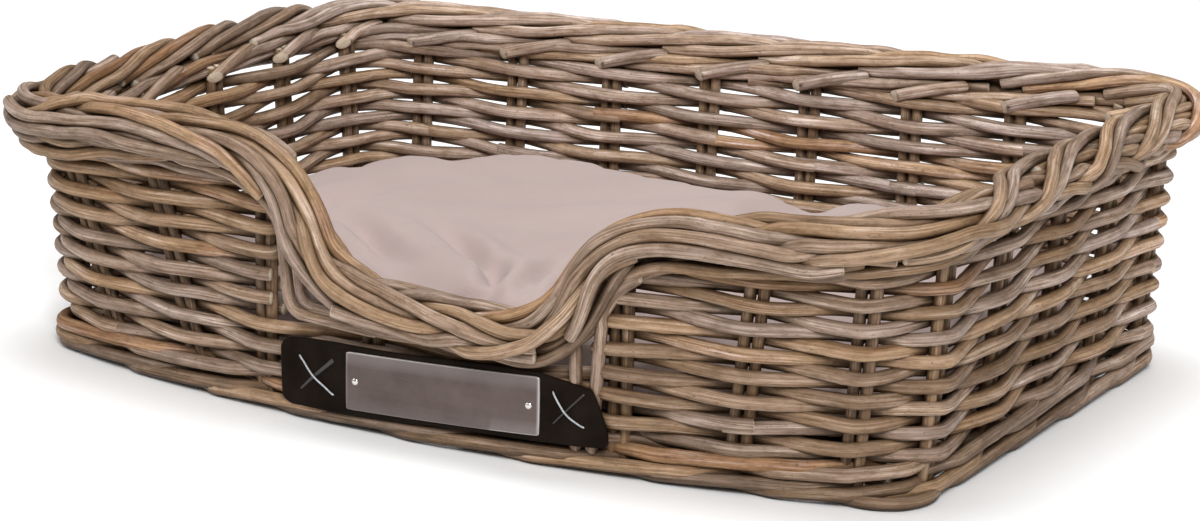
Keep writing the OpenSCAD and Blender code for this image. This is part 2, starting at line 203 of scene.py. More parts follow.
class Rods:
    """Collects round rods into one mesh with the attributes that the rattan material reads."""

    def __init__(self, seed):
        self.random = np.random.default_rng(seed)
        self.vertices = []
        self.faces = []
        self.grain = []
        self.hue = []
        self.shade = []
        self.pale = []
        self.count = 0

    def add(self, points, radius, hue=None, shade=None, sides=12, up_stretch=1.0, cut=(1, 1), slant=0.3):
        """One rod along points. cut says which ends are cut pale, at a slant; the others are round."""
        random = self.random
        points = np.asarray(points, float)
        count = len(points)
        tangent = np.gradient(points, axis=0)
        tangent /= np.linalg.norm(tangent, axis=1)[:, None]
        up = np.zeros((count, 3))
        first = np.array([0, 0, 1.0]) if abs(tangent[0, 2]) < 0.9 else np.array([0, 1.0, 0])
        for i in range(count):
            first = first - tangent[i] * first.dot(tangent[i])
            first /= np.linalg.norm(first)
            up[i] = first
        across = np.cross(tangent, up)
        gaps = np.linalg.norm(np.diff(points, axis=0), axis=1)
        along = np.concatenate([[0], np.cumsum(gaps)])
        thick = radius * (1 + smooth_noise(random, count, 9, 0.035))
        knot_gap = random.uniform(95, 190)
        knot_first = random.uniform(0, knot_gap)
        to_knot = np.abs((along - knot_first + knot_gap / 2) % knot_gap - knot_gap / 2)
        thick += 0.32 * np.exp(-((to_knot / 3.2) ** 2))
        angle = np.linspace(0, 2 * math.pi, sides, endpoint=False)
        lobes = 1 + smooth_noise(random, sides + 1, 3, 0.03)[:sides]
        ring_x = np.cos(angle) * lobes
        ring_y = np.sin(angle) * lobes * up_stretch
        hue = random.uniform(0, 1) if hue is None else hue
        shade = random.uniform(-1, 1) if shade is None else shade
        offset = random.uniform(0, 4000, 3)
        rings = []
        grains = []
        spans = [(points[i], thick[i], along[i], i) for i in range(count)]
        bevel = 0.22 * radius
        start_size = (0.0, 0.78) if cut[0] else (0.0, 0.55)
        end_size = (0.78, 0.0) if cut[1] else (0.55, 0.0)
        caps_before = [(-0.2 * bevel, start_size[0], 0), (0.0, start_size[1], 0)]
        caps_after = [(0.0, end_size[0], count - 1), (0.2 * bevel, end_size[1], count - 1)]

        def ring(centre, size, s, i, grow, slope=0.0):
            middle = centre + tangent[i] * grow
            flat = across[i] * ring_x[:, None] + up[i] * ring_y[:, None]
            rings.append(middle + size * (flat + slope * ring_x[:, None] * tangent[i]))
            spin = np.stack([np.full(sides, s), ring_x * 4, ring_y * 4], 1)
            grains.append(spin + offset)

        for grow, size, i in caps_before:
            ring(points[i], thick[i] * size, along[i], i, grow - bevel, slant)
        for centre, size, s, i in spans:
            at_end = i in (0, count - 1)
            ring(centre, size, s, i, 0, slant if at_end else 0.0)
        for grow, size, i in caps_after:
            ring(points[i], thick[i] * size, along[i], i, grow + bevel, slant)
        n = len(rings)
        base = self.count
        step = np.arange(n - 1)[:, None] * sides
        side = np.arange(sides)[None, :]
        turn = (side + 1) % sides
        quads = np.stack([step + side, step + turn, step + sides + turn, step + sides + side], -1)
        self.faces.append(quads.reshape(-1, 4) + base)
        self.vertices.append(np.concatenate(rings))
        self.grain.append(np.concatenate(grains))
        self.count += n * sides
        total = n * sides
        drift = smooth_noise(random, n, 16, 0.12).repeat(sides)
        self.hue.append(np.clip(hue + drift, 0, 1))
        # Painted light: the rods are made lighter towards the back wall
        painted_back_light = BACK_PAINTED_LIGHT * np.clip(np.concatenate(rings)[:, 1] / BACK_REACH, 0, 1)
        uneven = smooth_noise(random, n, 11, 0.25).repeat(sides)
        self.shade.append(np.full(total, shade) + uneven + painted_back_light)
        pale = np.zeros((n, sides))
        if cut[0]:
            pale[:2] = 1
        if cut[1]:
            pale[-2:] = 1
        self.pale.append(pale.ravel())

    def build(self, name, node, slot, material, body="basket"):
        """The mesh as a piece that stands for a CAD node."""
        vertices = np.concatenate(self.vertices)
        vertices[:, 1] += CENTRE_Y
        faces = np.concatenate(self.faces)
        mesh = bpy.data.meshes.new(name)
        mesh.vertices.add(len(vertices))
        mesh.vertices.foreach_set("co", (vertices * MM).ravel())
        mesh.loops.add(faces.size)
        mesh.loops.foreach_set("vertex_index", faces.ravel().astype(np.int32))
        mesh.polygons.add(len(faces))
        mesh.polygons.foreach_set("loop_start", (np.arange(len(faces)) * 4).astype(np.int32))
        mesh.polygons.foreach_set("use_smooth", np.ones(len(faces), bool))
        mesh.update(calc_edges=True)
        mesh.validate()
        values = {"hue": self.hue, "shade": self.shade, "pale": self.pale}
        for key, parts in values.items():
            mesh.attributes.new(key, "FLOAT", "POINT").data.foreach_set("value", np.concatenate(parts))
        grain = mesh.attributes.new("grain", "FLOAT_VECTOR", "POINT")
        grain.data.foreach_set("vector", np.concatenate(self.grain).ravel())
        mesh.materials.append(material)
        piece = bpy.data.objects.new(name, mesh)
        bpy.context.collection.objects.link(piece)
        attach(piece, body)
        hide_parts(node)
        return piece


# ---- Materials ----


class Nodes:
    """Short calls for a material's nodes."""

    def __init__(self, name):
        self.material = bpy.data.materials.new(name)
        self.material.use_nodes = True
        self.tree = self.material.node_tree
        self.shader = self.tree.nodes["Principled BSDF"]

    def link(self, out, into):
        self.tree.links.new(out, into)

    def put(self, socket, value):
        if isinstance(value, bpy.types.NodeSocket):
            self.link(value, socket)
        else:
            socket.default_value = value

    def node(self, kind, **settings):
        made = self.tree.nodes.new(kind)
        for key, value in settings.items():
            setattr(made, key, value)
        return made

    def attribute(self, name, output="Fac"):
        return self.node("ShaderNodeAttribute", attribute_name=name).outputs[output]

    def math(self, operation, a, b=0.0, clamp=False):
        made = self.node("ShaderNodeMath", operation=operation, use_clamp=clamp)
        self.put(made.inputs[0], a)
        self.put(made.inputs[1], b)
        return made.outputs[0]

    def noise(self, vector, scale, detail=3.0, rough=0.55):
        made = self.node("ShaderNodeTexNoise")
        if vector is not None:
            self.link(vector, made.inputs["Vector"])
        made.inputs["Scale"].default_value = scale
        made.inputs["Detail"].default_value = detail
        made.inputs["Roughness"].default_value = rough
        return made.outputs["Fac"]

    def stretch(self, vector, scale):
        made = self.node("ShaderNodeMapping")
        self.link(vector, made.inputs["Vector"])
        made.inputs["Scale"].default_value = scale
        return made.outputs["Vector"]

    def ramp(self, value, stops):
        made = self.node("ShaderNodeValToRGB")
        elements = made.color_ramp.elements
        while len(elements) < len(stops):
            elements.new(0.5)
        for element, (place, colour) in zip(elements, stops):
            element.position = place
            element.color = (*colour, 1) if len(colour) == 3 else colour
        self.link(value, made.inputs["Fac"])
        return made.outputs["Color"]

    def fade(self, value, low, high, out_low=0.0, out_high=1.0):
        made = self.node("ShaderNodeMapRange")
        self.put(made.inputs["Value"], value)
        limits = {"From Min": low, "From Max": high, "To Min": out_low, "To Max": out_high}
        for key, number in limits.items():
            made.inputs[key].default_value = number
        return made.outputs["Result"]

    def blend(self, share, a, b, kind="MIX"):
        made = self.node("ShaderNodeMix", data_type="RGBA", blend_type=kind)
        self.put(made.inputs["Factor"], share)
        self.put(made.inputs[6], a if isinstance(a, bpy.types.NodeSocket) else (*a, 1))
        self.put(made.inputs[7], b if isinstance(b, bpy.types.NodeSocket) else (*b, 1))
        return made.outputs[2]

    def bump(self, height, distance, strength=1.0):
        made = self.node("ShaderNodeBump")
        made.inputs["Strength"].default_value = strength
        made.inputs["Distance"].default_value = distance
        self.link(height, made.inputs["Height"])
        self.link(made.outputs["Normal"], self.shader.inputs["Normal"])
        return made

    def set(self, **values):
        for key, value in values.items():
            self.put(self.shader.inputs[key.replace("_", " ")], value)


HUES = [
    (0.0, (0.252, 0.178, 0.135)),
    (0.28, (0.274, 0.183, 0.125)),
    (0.52, (0.302, 0.193, 0.114)),
    (0.76, (0.331, 0.208, 0.116)),
    (0.92, (0.317, 0.180, 0.091)),
    (1.0, (0.274, 0.136, 0.062)),
]
BLEACHED = (0.46, 0.36, 0.295)
STAIN = (0.085, 0.050, 0.032)
# The darker a rod, the less green and blue it keeps
BROWNING = (1.0, 1.15, 1.4)


def rattan_material(name, darker=1.0):
    """Peeled rattan that has greyed: streaks along the rod, bleached patches, specks and joints, with painted
    shade in the narrow gaps between rods and painted light towards the back wall.
    """
    n = Nodes(name)
    grain = n.attribute("grain", "Vector")
    streak = n.noise(n.stretch(grain, (0.016, 0.75, 0.75)), 1.0, 5, 0.68)
    patch = n.noise(n.stretch(grain, (0.022, 0.14, 0.14)), 1.0, 3)
    blotch = n.noise(n.stretch(grain, (0.07, 0.22, 0.22)), 1.0, 4, 0.7)
    fleck = n.noise(n.stretch(grain, (0.35, 0.9, 0.9)), 1.0, 2)
    hue = n.math("ADD", n.attribute("hue"), n.fade(patch, 0.3, 0.7, -0.2, 0.2), clamp=True)
    colour = n.ramp(hue, HUES)
    worn = n.math("MULTIPLY", n.fade(patch, 0.46, 0.70), n.fade(streak, 0.40, 0.62))
    colour = n.blend(n.math("MULTIPLY", worn, 0.85), colour, BLEACHED)
    # The shade attribute holds each rod's own tone and the painted light towards the back wall
    light = n.fade(n.attribute("shade"), -1.3, 3.0, 0.58 * darker, 1.58 * darker)
    light = n.math("MULTIPLY", light, n.fade(streak, 0.34, 0.66, 0.55, 1.42))
    light = n.math("MULTIPLY", light, n.fade(blotch, 0.30, 0.55, 0.62, 1.06))
    # Painted shade: the colour is darkened in the narrow gaps where rods lie close together
    painted_crevice_shade = n.node("ShaderNodeAmbientOcclusion", samples=6)
    painted_crevice_shade.inputs["Distance"].default_value = 0.012
    light = n.math("MULTIPLY", light, n.fade(painted_crevice_shade.outputs["AO"], 0.2, 0.85, 0.32, 1.06))
    tint = n.node("ShaderNodeCombineColor")
    for socket, power in zip(tint.inputs, BROWNING):
        n.link(n.math("POWER", light, power), socket)
    colour = n.blend(1.0, colour, tint.outputs["Color"], "MULTIPLY")
    colour = n.blend(n.fade(fleck, 0.64, 0.72, 0.0, 0.7), colour, STAIN)
    end_grain = n.noise(grain, 2.2, 3)
    cut_colour = n.ramp(end_grain, [(0.3, (0.44, 0.34, 0.24)), (0.7, (0.72, 0.62, 0.49))])
    colour = n.blend(n.attribute("pale"), colour, cut_colour)
    n.set(Base_Color=colour, Roughness=n.fade(streak, 0.3, 0.7, 0.66, 0.42))
    n.shader.inputs["Specular IOR Level"].default_value = 0.3
    height = n.math("ADD", n.math("MULTIPLY", streak, 1.4), n.math("MULTIPLY", blotch, 0.6))
    n.bump(height, 0.0009, 0.7)
    return n.material


woven = rattan_material("rattan_woven")
border_rattan = rattan_material("rattan_border", 0.93)
stake_rattan = rattan_material("rattan_stake", 0.78)
base_rattan = rattan_material("rattan_base", 0.72)


# ---- The woven walls ----

ROWS = 9
FIRST_ROD_Z = 11.8
ROD_PITCH = 7.35
WOVEN_R = 4.2
WEAVE_OUT = 6.9
# How sharply a woven rod bends at the stakes: towards 1 it runs straight between them
WEAVE_BEND = 0.93
ROD_STEP = 4.0
OPEN_ABOVE = 58


def row_stop(z):
    """How far from the entrance's middle a rod at height z ends, so that it stays below the border."""
    turn = 2 * math.atan((RIM_Z - ENTRANCE_Z) / SWEEP_RUN)
    sweep_r = SWEEP_RUN / 2 / math.sin(turn)
    inner = sweep_r - BORDER_R + 4
    rise = z + WOVEN_R - (RIM_Z - sweep_r)
    if rise <= 0:
        return 0
    if rise >= inner:
        return ENTRANCE_HALF + SWEEP_RUN
    return ENTRANCE_HALF + SWEEP_RUN - math.sqrt(inner * inner - rise * rise)


def wave(s, length, z):
    """A slow rise and fall of the rows, which all the rods of a wall share."""
    turn = 2 * math.pi * s / length
    fade = min(1.0, max(0.0, (z - 12) / 40)) * min(1.0, max(0.0, (140 - z) / 20))
    slow = 1.3 * np.sin(3 * turn + 1)
    quick = 0.9 * np.sin(7 * turn + z / 30) + 0.5 * np.sin(13 * turn + 2)
    return fade * (slow + quick)


# The stake pairs on either side of each corner, and how nearly straight the rods run between them
CORNERS = [(3, 4, 0.85), (8, 9, 0.6), (16, 17, 0.5), (21, 22, 0.15)]


def sharpen(plan, s, t, ring, out):
    """Points of a rod that bends at the stake pairs beside a corner rather than all round it."""
    flat, normal = plan.at(s)
    for before, after, straight in CORNERS:
        here = (t > before) & (t < after)
        ends, _normal = plan.at(ring[[before, after]])
        chord = mix(ends[0], ends[1], (t[here] - before)[:, None])
        flat[here] = mix(flat[here], chord, straight)
    return flat + normal * np.broadcast_to(out, s.shape)[:, None]


def woven_line(random, index, z, t):
    """The line of woven rod index, where t counts stake pairs."""
    plan = wall_plan(z)
    pairs = pair_places(plan, z)
    ring = np.concatenate([pairs[-2:] - plan.length, pairs, pairs[:2] + plan.length])
    s = np.interp(t, np.arange(-2, PAIRS + 2), ring)
    swing = np.cos(math.pi * (t + index))
    out = WEAVE_OUT * np.arcsin(WEAVE_BEND * swing) / math.asin(WEAVE_BEND)
    count = len(t)
    out = out + smooth_noise(random, count, 14, 0.5)
    xy = sharpen(plan, s, t, pairs, out)
    height = z + wave(s, plan.length, z) + smooth_noise(random, count, 11, 1.25)
    return np.column_stack([xy, height])


def t_steps(start, end):
    return np.linspace(start, end, max(3, int((end - start) * PAIR_STEP / ROD_STEP)))


def rod_pieces(random, start, end):
    """Cuts a long run into rods, each ending half way behind a stake pair."""
    cuts = [start]
    while end - cuts[-1] > 9.5:
        cuts.append(cuts[-1] + random.integers(5, 9))
    return list(zip(cuts, cuts[1:] + [end]))


def pick_hue(random):
    """Most rods are greyed or tan, and a few are golden or orange-brown."""
    kinds = [0.08, 0.3, 0.5, 0.72, 0.92]
    shares = [0.30, 0.27, 0.22, 0.14, 0.07]
    return float(np.clip(random.choice(kinds, p=shares) + random.uniform(-0.09, 0.09), 0, 1))


def end_loop(line_a, line_b, sign):
    """Joins the ends of two stacked rods round the last stake pair."""
    a = line_a[-1] if sign > 0 else line_a[0]
    b = line_b[-1] if sign > 0 else line_b[0]
    middle = (a + b) / 2
    arm = (a - b) / 2
    away = line_a[-1] - line_a[-2] if sign > 0 else line_a[0] - line_a[1]
    away = away / np.linalg.norm(away)
    steps = np.linspace(0, math.pi, 9)[1:-1]
    return [middle + arm * math.cos(u) + away * 6.0 * math.sin(u) for u in steps]


def add_woven_rod(rods, line, hue, shade, cut):
    line = resample(line, ROD_STEP)
    radius = WOVEN_R * rods.random.uniform(0.93, 1.05)
    rods.add(line, radius, hue, shade, up_stretch=1.04, cut=cut)


def closed_rod(rods, index, z):
    """A rod that goes all the way round in several lengths, whose ends overlap behind a stake pair."""
    random = rods.random
    first = random.integers(0, 4) * 2 + (1 if index % 2 == 0 else 0)
    for start, end in rod_pieces(random, first, first + PAIRS):
        t = t_steps(start - 0.12, end + 0.12)
        line = woven_line(random, index, z, np.mod(t + 1, PAIRS) - 1)
        add_woven_rod(rods, line, pick_hue(random), random.uniform(-1, 1), (1, 1))


def open_ends(plan, z):
    """Where a rod ends on the right and on the left of the entrance, in stake pairs."""
    pairs = pair_places(plan, z)
    right_x = max(129, ENTRANCE_X + row_stop(z))
    left_x = min(-103, ENTRANCE_X - row_stop(z))
    ring = np.concatenate([pairs, [pairs[0] + plan.length]])
    right = np.interp(plan.front(right_x), ring, np.arange(PAIRS + 1))
    left = np.interp(plan.length + plan.front(left_x), ring, np.arange(PAIRS + 1))
    return right, left


def open_row(rods, lower, z_low, z_high, both):
    """The two stacked rods of a row that stops at the entrance, some turning back round the end pair."""
    random = rods.random
    right, left = open_ends(wall_plan(z_low), z_low)
    cut_right = right + random.uniform(1.5, 4.5) * 2
    breaks = [np.round(x) for x in (cut_right, 13 + random.uniform(-2, 2), left - random.uniform(3, 7))]
    lines = []
    for index, z in ((lower, z_low), (lower + 1, z_high)):
        if index == lower and not both:
            continue
        shift = 0 if index == lower else 1
        cuts = [right] + [b + shift for b in breaks] + [left]
        pieces = []
        for start, end in zip(cuts[:-1], cuts[1:]):
            a = start if start == right else start - 0.12
            b = end if end == left else end + 0.12
            pieces.append(woven_line(random, index, z, t_steps(a, b)))
        lines.append(pieces)
    if not both:
        for piece in lines[0]:
            add_woven_rod(rods, piece, pick_hue(random), random.uniform(-1, 1), (1, 1))
        return
    low, high = lines
    turn_left = random.uniform() < 0.6
    turn_right = random.uniform() < 0.6
    for i in range(len(low)):
        joined = []
        if i == 0 and turn_right:
            joined = np.concatenate([low[0][::-1], end_loop(low[0], high[0], -1), high[0]])
        if i == len(low) - 1 and turn_left:
            joined = np.concatenate([low[-1], end_loop(low[-1], high[-1], 1), high[-1][::-1]])
        if len(joined):
            add_woven_rod(rods, joined, pick_hue(random), random.uniform(-1, 1), (1, 1))
            continue
        for piece in (low[i], high[i]):
            add_woven_rod(rods, piece, pick_hue(random), random.uniform(-1, 1), (1, 1))


WALE_Z = 7.8
UPPER_WALE_Z = 19.6
WALE_SWING = 3.4


def wale_rod(rods, strand, middle=WALE_Z):
    """A strand that passes in front of two pairs and behind the next, climbing as it goes."""
    random = rods.random
    start = strand + 12
    for a, b in ((0, 8.4), (8.6, 17.4), (17.6, PAIRS + 0.2)):
        t = t_steps(start + a, start + b)
        plan = wall_plan(middle)
        pairs = pair_places(plan, FOOT_Z)
        laps = np.floor(t / PAIRS)
        ring = np.concatenate([pairs, [pairs[0] + plan.length]])
        s = np.interp(t - laps * PAIRS, np.arange(PAIRS + 1), ring) + laps * plan.length
        phase = np.mod(t - strand, 3) / 3
        front = 0.5 + 0.5 * np.cos(2 * math.pi * (phase - 1 / 6 - 1 / 6))
        out = mix(-6.5, 8.2, np.clip(front * 1.6, 0, 1))
        climb = np.where(phase < 0.7, phase / 0.7, (1 - phase) / 0.3)
        height = middle - WALE_SWING + 2 * WALE_SWING * climb
        xy = sharpen(plan, s, np.mod(t, PAIRS), pairs, out + smooth_noise(random, len(t), 14, 0.4))
        line = np.column_stack([xy, height + smooth_noise(random, len(t), 20, 0.3)])
        add_woven_rod(rods, line, pick_hue(random), random.uniform(-0.9, 0.4), (1, 1))


def corner_loop():
    """A short rod bent round the foot of the front right corner."""
    plan = wall_plan(4)
    middle = (plan.starts[1] + plan.starts[2]) / 2
    s = middle + np.linspace(-30, 30, 13)
    xy, _normal = plan.at(s, mix(4, 11.5, np.cos(np.linspace(-1.5, 1.5, 13))))
    return resample(np.column_stack([xy, np.full(13, 4.4)]), 3)


# The first and last stake pair of the rods that fill the wall where the rim runs higher, on the right
HIGH_RODS = [(3.4, 12.6), (3.9, 10.8)]


def build_walls():
    for row in range(1, ROWS + 1):
        rods = Rods(100 + row)
        lower = 2 * (row - 1)
        z_low = FIRST_ROD_Z + lower * ROD_PITCH
        z_high = z_low + ROD_PITCH
        if row == 1:
            wale_rod(rods, 2)
            wale_rod(rods, 0, UPPER_WALE_Z)
            wale_rod(rods, 1, UPPER_WALE_Z)
        elif z_high < OPEN_ABOVE:
            closed_rod(rods, lower, z_low)
            closed_rod(rods, lower + 1, z_high)
        elif z_low < OPEN_ABOVE:
            closed_rod(rods, lower, z_low)
            open_row(rods, lower, z_low, z_high, False)
        else:
            open_row(rods, lower, z_low, z_high, True)
        if row == ROWS:
            for extra, (start, end) in enumerate(HIGH_RODS):
                index = lower + 2 + extra
                z = z_high + (1 + extra) * ROD_PITCH
                line = woven_line(rods.random, index, z, t_steps(start, end))
                add_woven_rod(rods, line, pick_hue(rods.random), rods.random.uniform(-1, 1), (1, 1))
        rods.build(f"woven_row_{row}", f"weave_row_{row}", "woven_rattan", woven)
    for strand, name in enumerate(("outer", "inner")):
        rods = Rods(120 + strand)
        wale_rod(rods, strand)
        if strand == 0:
            rods.add(corner_loop(), 3.8, 0.3, 0.2)
        rods.build(f"wale_{name}", f"foot_ring_{name}", "base_rattan", base_rattan)


# ---- Stakes ----

STAKE_R = 3.7
STAKE_GAP = 8.2


def stake_line(random, pair, side, top):
    """A stake of a pair, slightly bowed, from the base up to height top."""
    line = []
    bow = random.uniform(-0.8, 0.8)
    for z in np.linspace(5, top, 14):
        plan = wall_plan(z)
        s = pair_places(plan, z)[pair] + side * STAKE_GAP / 2 + bow * math.sin(z / 30)
        xy, _normal = plan.at([s], bow * 0.5 * math.sin(z / 25))
        line.append((*xy[0], z))
    return resample(np.array(line), 5)


def border_height(x):
    """Height of the border's middle line over the front at x."""
    turn = 2 * math.atan((RIM_Z - ENTRANCE_Z) / SWEEP_RUN)
    sweep_r = SWEEP_RUN / 2 / math.sin(turn)
    away = abs(x - ENTRANCE_X) - ENTRANCE_HALF
    if away <= 0:
        return ENTRANCE_Z
    if away <= SWEEP_RUN / 2:
        return ENTRANCE_Z + sweep_r - math.sqrt(sweep_r**2 - away**2)
    if away < SWEEP_RUN:
        return RIM_Z - sweep_r + math.sqrt(sweep_r**2 - (SWEEP_RUN - away) ** 2)
    return RIM_Z


STAKE_GROUPS = {
    "stakes_front_right": [1, 2, 3],
    "stakes_right": [4, 5, 6, 7, 8],
    "stakes_back": list(range(9, 17)),
    "stakes_left": list(range(17, 22)),
    "stakes_front_left": [22, 23, 24],
    "stakes_front_low": [25, 0],
}


def build_stakes():
    for seed, (node, pairs) in enumerate(STAKE_GROUPS.items()):
        rods = Rods(200 + seed)
        for pair in pairs:
            top_plan = wall_plan(TOP_Z)
            xy, _normal = top_plan.at([pair_places(top_plan, TOP_Z)[pair]])
            nearest = np.argmin(np.linalg.norm(border.points[:, :2] - xy[0], axis=1))
            top = border.points[nearest, 2]
            for side in (-1, 1):
                line = stake_line(rods.random, pair, side, top - 4)
                rods.add(line, STAKE_R, rods.random.uniform(0.35, 0.75), rods.random.uniform(-0.8, 0.6))
        rods.build(node.replace("stakes", "stake_pairs"), node, "stake_rattan", stake_rattan)


# ---- The border's line ----


def rim_places():
    """Places round the rim, then how much higher and how much further in a handmade rim runs there."""
    plan = rim_plan
    corner = [(plan.starts[i] + plan.starts[i + 1]) / 2 for i in (1, 3, 5, 7)]
    front = [(24, 4), (80, 0), (110, -7), (150, -10), (220, -9), (265, -4)]
    front_left = [(-250, -2), (-200, 5), (-150, 6), (-90, 6), (-40, 5)]
    rows = [(plan.front(x), lift, 0) for x, lift in front]
    rows += [(corner[0], 4, 6)]
    rows += [(plan.side(1, y), 11, 9) for y in (-150, 0, 150)]
    rows += [(corner[1], 11, 7)]
    rows += [(plan.back(x), lift, 0) for x, lift in ((250, 9), (150, 4), (0, 0), (-150, -3), (-250, -5))]
    rows += [(corner[2], -4, 0)]
    rows += [(plan.side(-1, y), lift, 0) for y, lift in ((100, 0), (0, 0), (-100, -5))]
    rows += [(corner[3], -8, 3)]
    rows += [(plan.length + plan.front(x), lift, 0) for x, lift in front_left]
    return np.array(rows).T


def evened(values, window):
    """The values round a closed line, each averaged with its neighbours."""
    for _pass in range(2):
        lapped = np.concatenate([values[-window:], values, values[:window]])
        values = np.convolve(lapped, np.ones(window) / window, "same")[window:-window]
    return values


class Border:
    """The border's middle line. A place on it is a distance, a heading from the top outward and a reach."""

    def __init__(self):
        s = np.arange(0, rim_plan.length, 0.5)
        xy, normal = rim_plan.at(s)
        front = (xy[:, 1] < 0) & (np.abs(xy[:, 0]) < 250)
        places, lifts, insets = rim_places()
        lift = evened(np.interp(s, places, lifts, period=rim_plan.length), 70)
        inset = evened(np.interp(s, places, insets, period=rim_plan.length), 70)
        xy = xy - normal * inset[:, None]
        z = np.array([border_height(x) if f else RIM_Z for x, f in zip(xy[:, 0], front)]) + lift
        points = np.column_stack([xy, z])
        gaps = np.linalg.norm(np.diff(np.vstack([points, points[:1]]), axis=0), axis=1)
        self.along = np.concatenate([[0], np.cumsum(gaps)])
        self.length = self.along[-1]
        self.plan_s = np.concatenate([s, [rim_plan.length]])
        self.points = np.vstack([points, points[:1]])
        tangent = np.gradient(np.vstack([points[-2:], points, points[:2]]), axis=0)[2:-2]
        tangent /= np.linalg.norm(tangent, axis=1)[:, None]
        out = np.column_stack([normal, np.zeros(len(normal))])
        up = np.cross(out, tangent)
        up /= np.linalg.norm(up, axis=1)[:, None]
        self.out = np.vstack([out, out[:1]])
        self.up = np.vstack([up, up[:1]])

    def at_plan(self, s):
        """Distance along the border of the rim plan's distance s."""
        laps = math.floor(s / rim_plan.length)
        return float(np.interp(s - laps * rim_plan.length, self.plan_s, self.along)) + laps * self.length

    def front(self, x):
        s = rim_plan.front(x)
        return self.at_plan(s if x >= 0 else s + rim_plan.length)

    def at(self, distance, heading, reach):
        d = np.mod(distance, self.length)
        pick = lambda table: np.stack([np.interp(d, self.along, table[:, i]) for i in range(3)], 1)
        turn = np.radians(heading)
        offset = pick(self.up) * np.cos(turn)[:, None] + pick(self.out) * np.sin(turn)[:, None]
        return pick(self.points) + offset * reach[:, None]


border = Border()


def soft_steps(x, xs, ys):
    """A smooth line through given values."""
    xs = np.asarray(xs, float)
    ys = np.asarray(ys, float)
    slope = np.gradient(ys, xs)
    i = np.clip(np.searchsorted(xs, x, side="right") - 1, 0, len(xs) - 2)
    h = xs[i + 1] - xs[i]
    t = np.clip((x - xs[i]) / h, 0, 1)
    return (
        (1 + 2 * t) * (1 - t) ** 2 * ys[i]
        + t * (1 - t) ** 2 * h * slope[i]
        + t * t * (3 - 2 * t) * ys[i + 1]
        + t * t * (t - 1) * h * slope[i + 1]
    )


class Strand:
    """One rod of the border, given by listed distances, headings and reaches."""

    def __init__(self, node, distances, headings, reaches, radius=4.1, hue=None, shade=None, cut=(1, 1)):
        steps = np.arange(distances[0], distances[-1], 4.0)
        self.node = node
        self.radius = radius
        self.hue = hue
        self.shade = shade
        self.cut = cut
        self.heading = soft_steps(steps, distances, headings)
        self.reach = soft_steps(steps, distances, reaches)
        self.place = steps
        self.line = border.at(steps, self.heading, self.reach)


def settle(strands, core_r, rounds=60):
    """Pushes overlapping rods apart and evens out their bends, as plaited rods settle."""
    line = np.concatenate([s.line for s in strands])
    home = line.copy()
    place = np.mod(np.concatenate([s.place for s in strands]), border.length)
    owner = np.concatenate([np.full(len(s.line), i) for i, s in enumerate(strands)])
    radius = np.concatenate([np.full(len(s.line), s.radius) for s in strands])
    core = border.at(place, np.zeros(len(place)), np.zeros(len(place)))
    inner = (owner[1:] == owner[:-1])
    keep = np.zeros(len(line), bool)
    keep[1:-1] = inner[1:] & inner[:-1]
    order = np.argsort(place)
    for _round in range(rounds):
        push = np.zeros_like(line)
        hits = np.zeros(len(line))
        for shift in range(1, 70):
            a = order
            b = np.roll(order, -shift)
            gap = line[a] - line[b]
            space = np.linalg.norm(gap, axis=1) + 1e-6
            lap = radius[a] + radius[b] - space
            touch = (lap > 0) & (owner[a] != owner[b])
            if not touch.any():
                continue
            move = gap[touch] * (0.5 * lap[touch] / space[touch])[:, None]
            np.add.at(push, a[touch], move)
            np.add.at(push, b[touch], -move)
            np.add.at(hits, a[touch], 1)
            np.add.at(hits, b[touch], 1)
        line += push / np.maximum(1, hits)[:, None] * 1.3
        away = line - core
        reach = np.linalg.norm(away, axis=1)
        low = reach < core_r + radius
        short = (core_r + radius[low] - reach[low]) / np.maximum(reach[low], 0.1)
        line[low] += away[low] * short[:, None] * 0.7
        for _pass in range(2):
            even = np.zeros_like(line)
            even[1:-1] = (line[2:] + line[:-2]) / 2 - line[1:-1]
            line[keep] += 0.45 * even[keep]
        line += 0.05 * (home - line)
    start = 0
    for s in strands:
        s.line = line[start:start + len(s.line)]
        start += len(s.line)


def rim_pair(k):
    """Distance along the border of stake pair k, which may count on past a full turn."""
    laps, pair = divmod(k, PAIRS)
    x_or_y = pair_places(rim_plan, TOP_Z)[pair]
    return border.at_plan(x_or_y) + laps * border.length


BORDER_NODES = [f"border_rod_{i}" for i in range(1, 10)]


# Distances from the stake pair, headings and reaches of the rods that each pair sends into the border
CLIMB = ([-48, -14, 18, 50, 90, 130, 160], [132, 104, 52, 6, -22, -40, -60], [9, 13, 15, 15, 13, 10, 8])
OUTLINE = ([-50, -12, 30, 68, 100, 130, 160], [124, 88, 42, 8, -10, -24, -50], [8, 12, 12.5, 12, 11, 9, 8])
LENS = ([10, 45, 85, 125, 165, 195], [22, -6, -30, -54, -76, -96], [8, 11, 13, 13.5, 12.5, 8])
OUTER = ([-10, 40, 95, 150, 178], [24, 55, 84, 108, 120], [8, 10, 12, 12.5, 9])
UNDER = ([0, 60, 140, 220, 280], [150, 156, 166, 172, 176], [8, 11.5, 11.5, 11, 9])
LOW_INNER = ([0, 70, 150, 230, 300], [-104, -112, -118, -126, -150], [9, 12.5, 12, 12, 9])


def pair_strand(random, node, kind, start, radius, wobble=5):
    at, headings, reaches = (np.array(values, float) for values in kind)
    headings = headings + random.uniform(-wobble, wobble)
    hue = pick_hue(random)
    return Strand(node, start + at, headings, reaches, radius, hue, random.uniform(-0.8, 1))


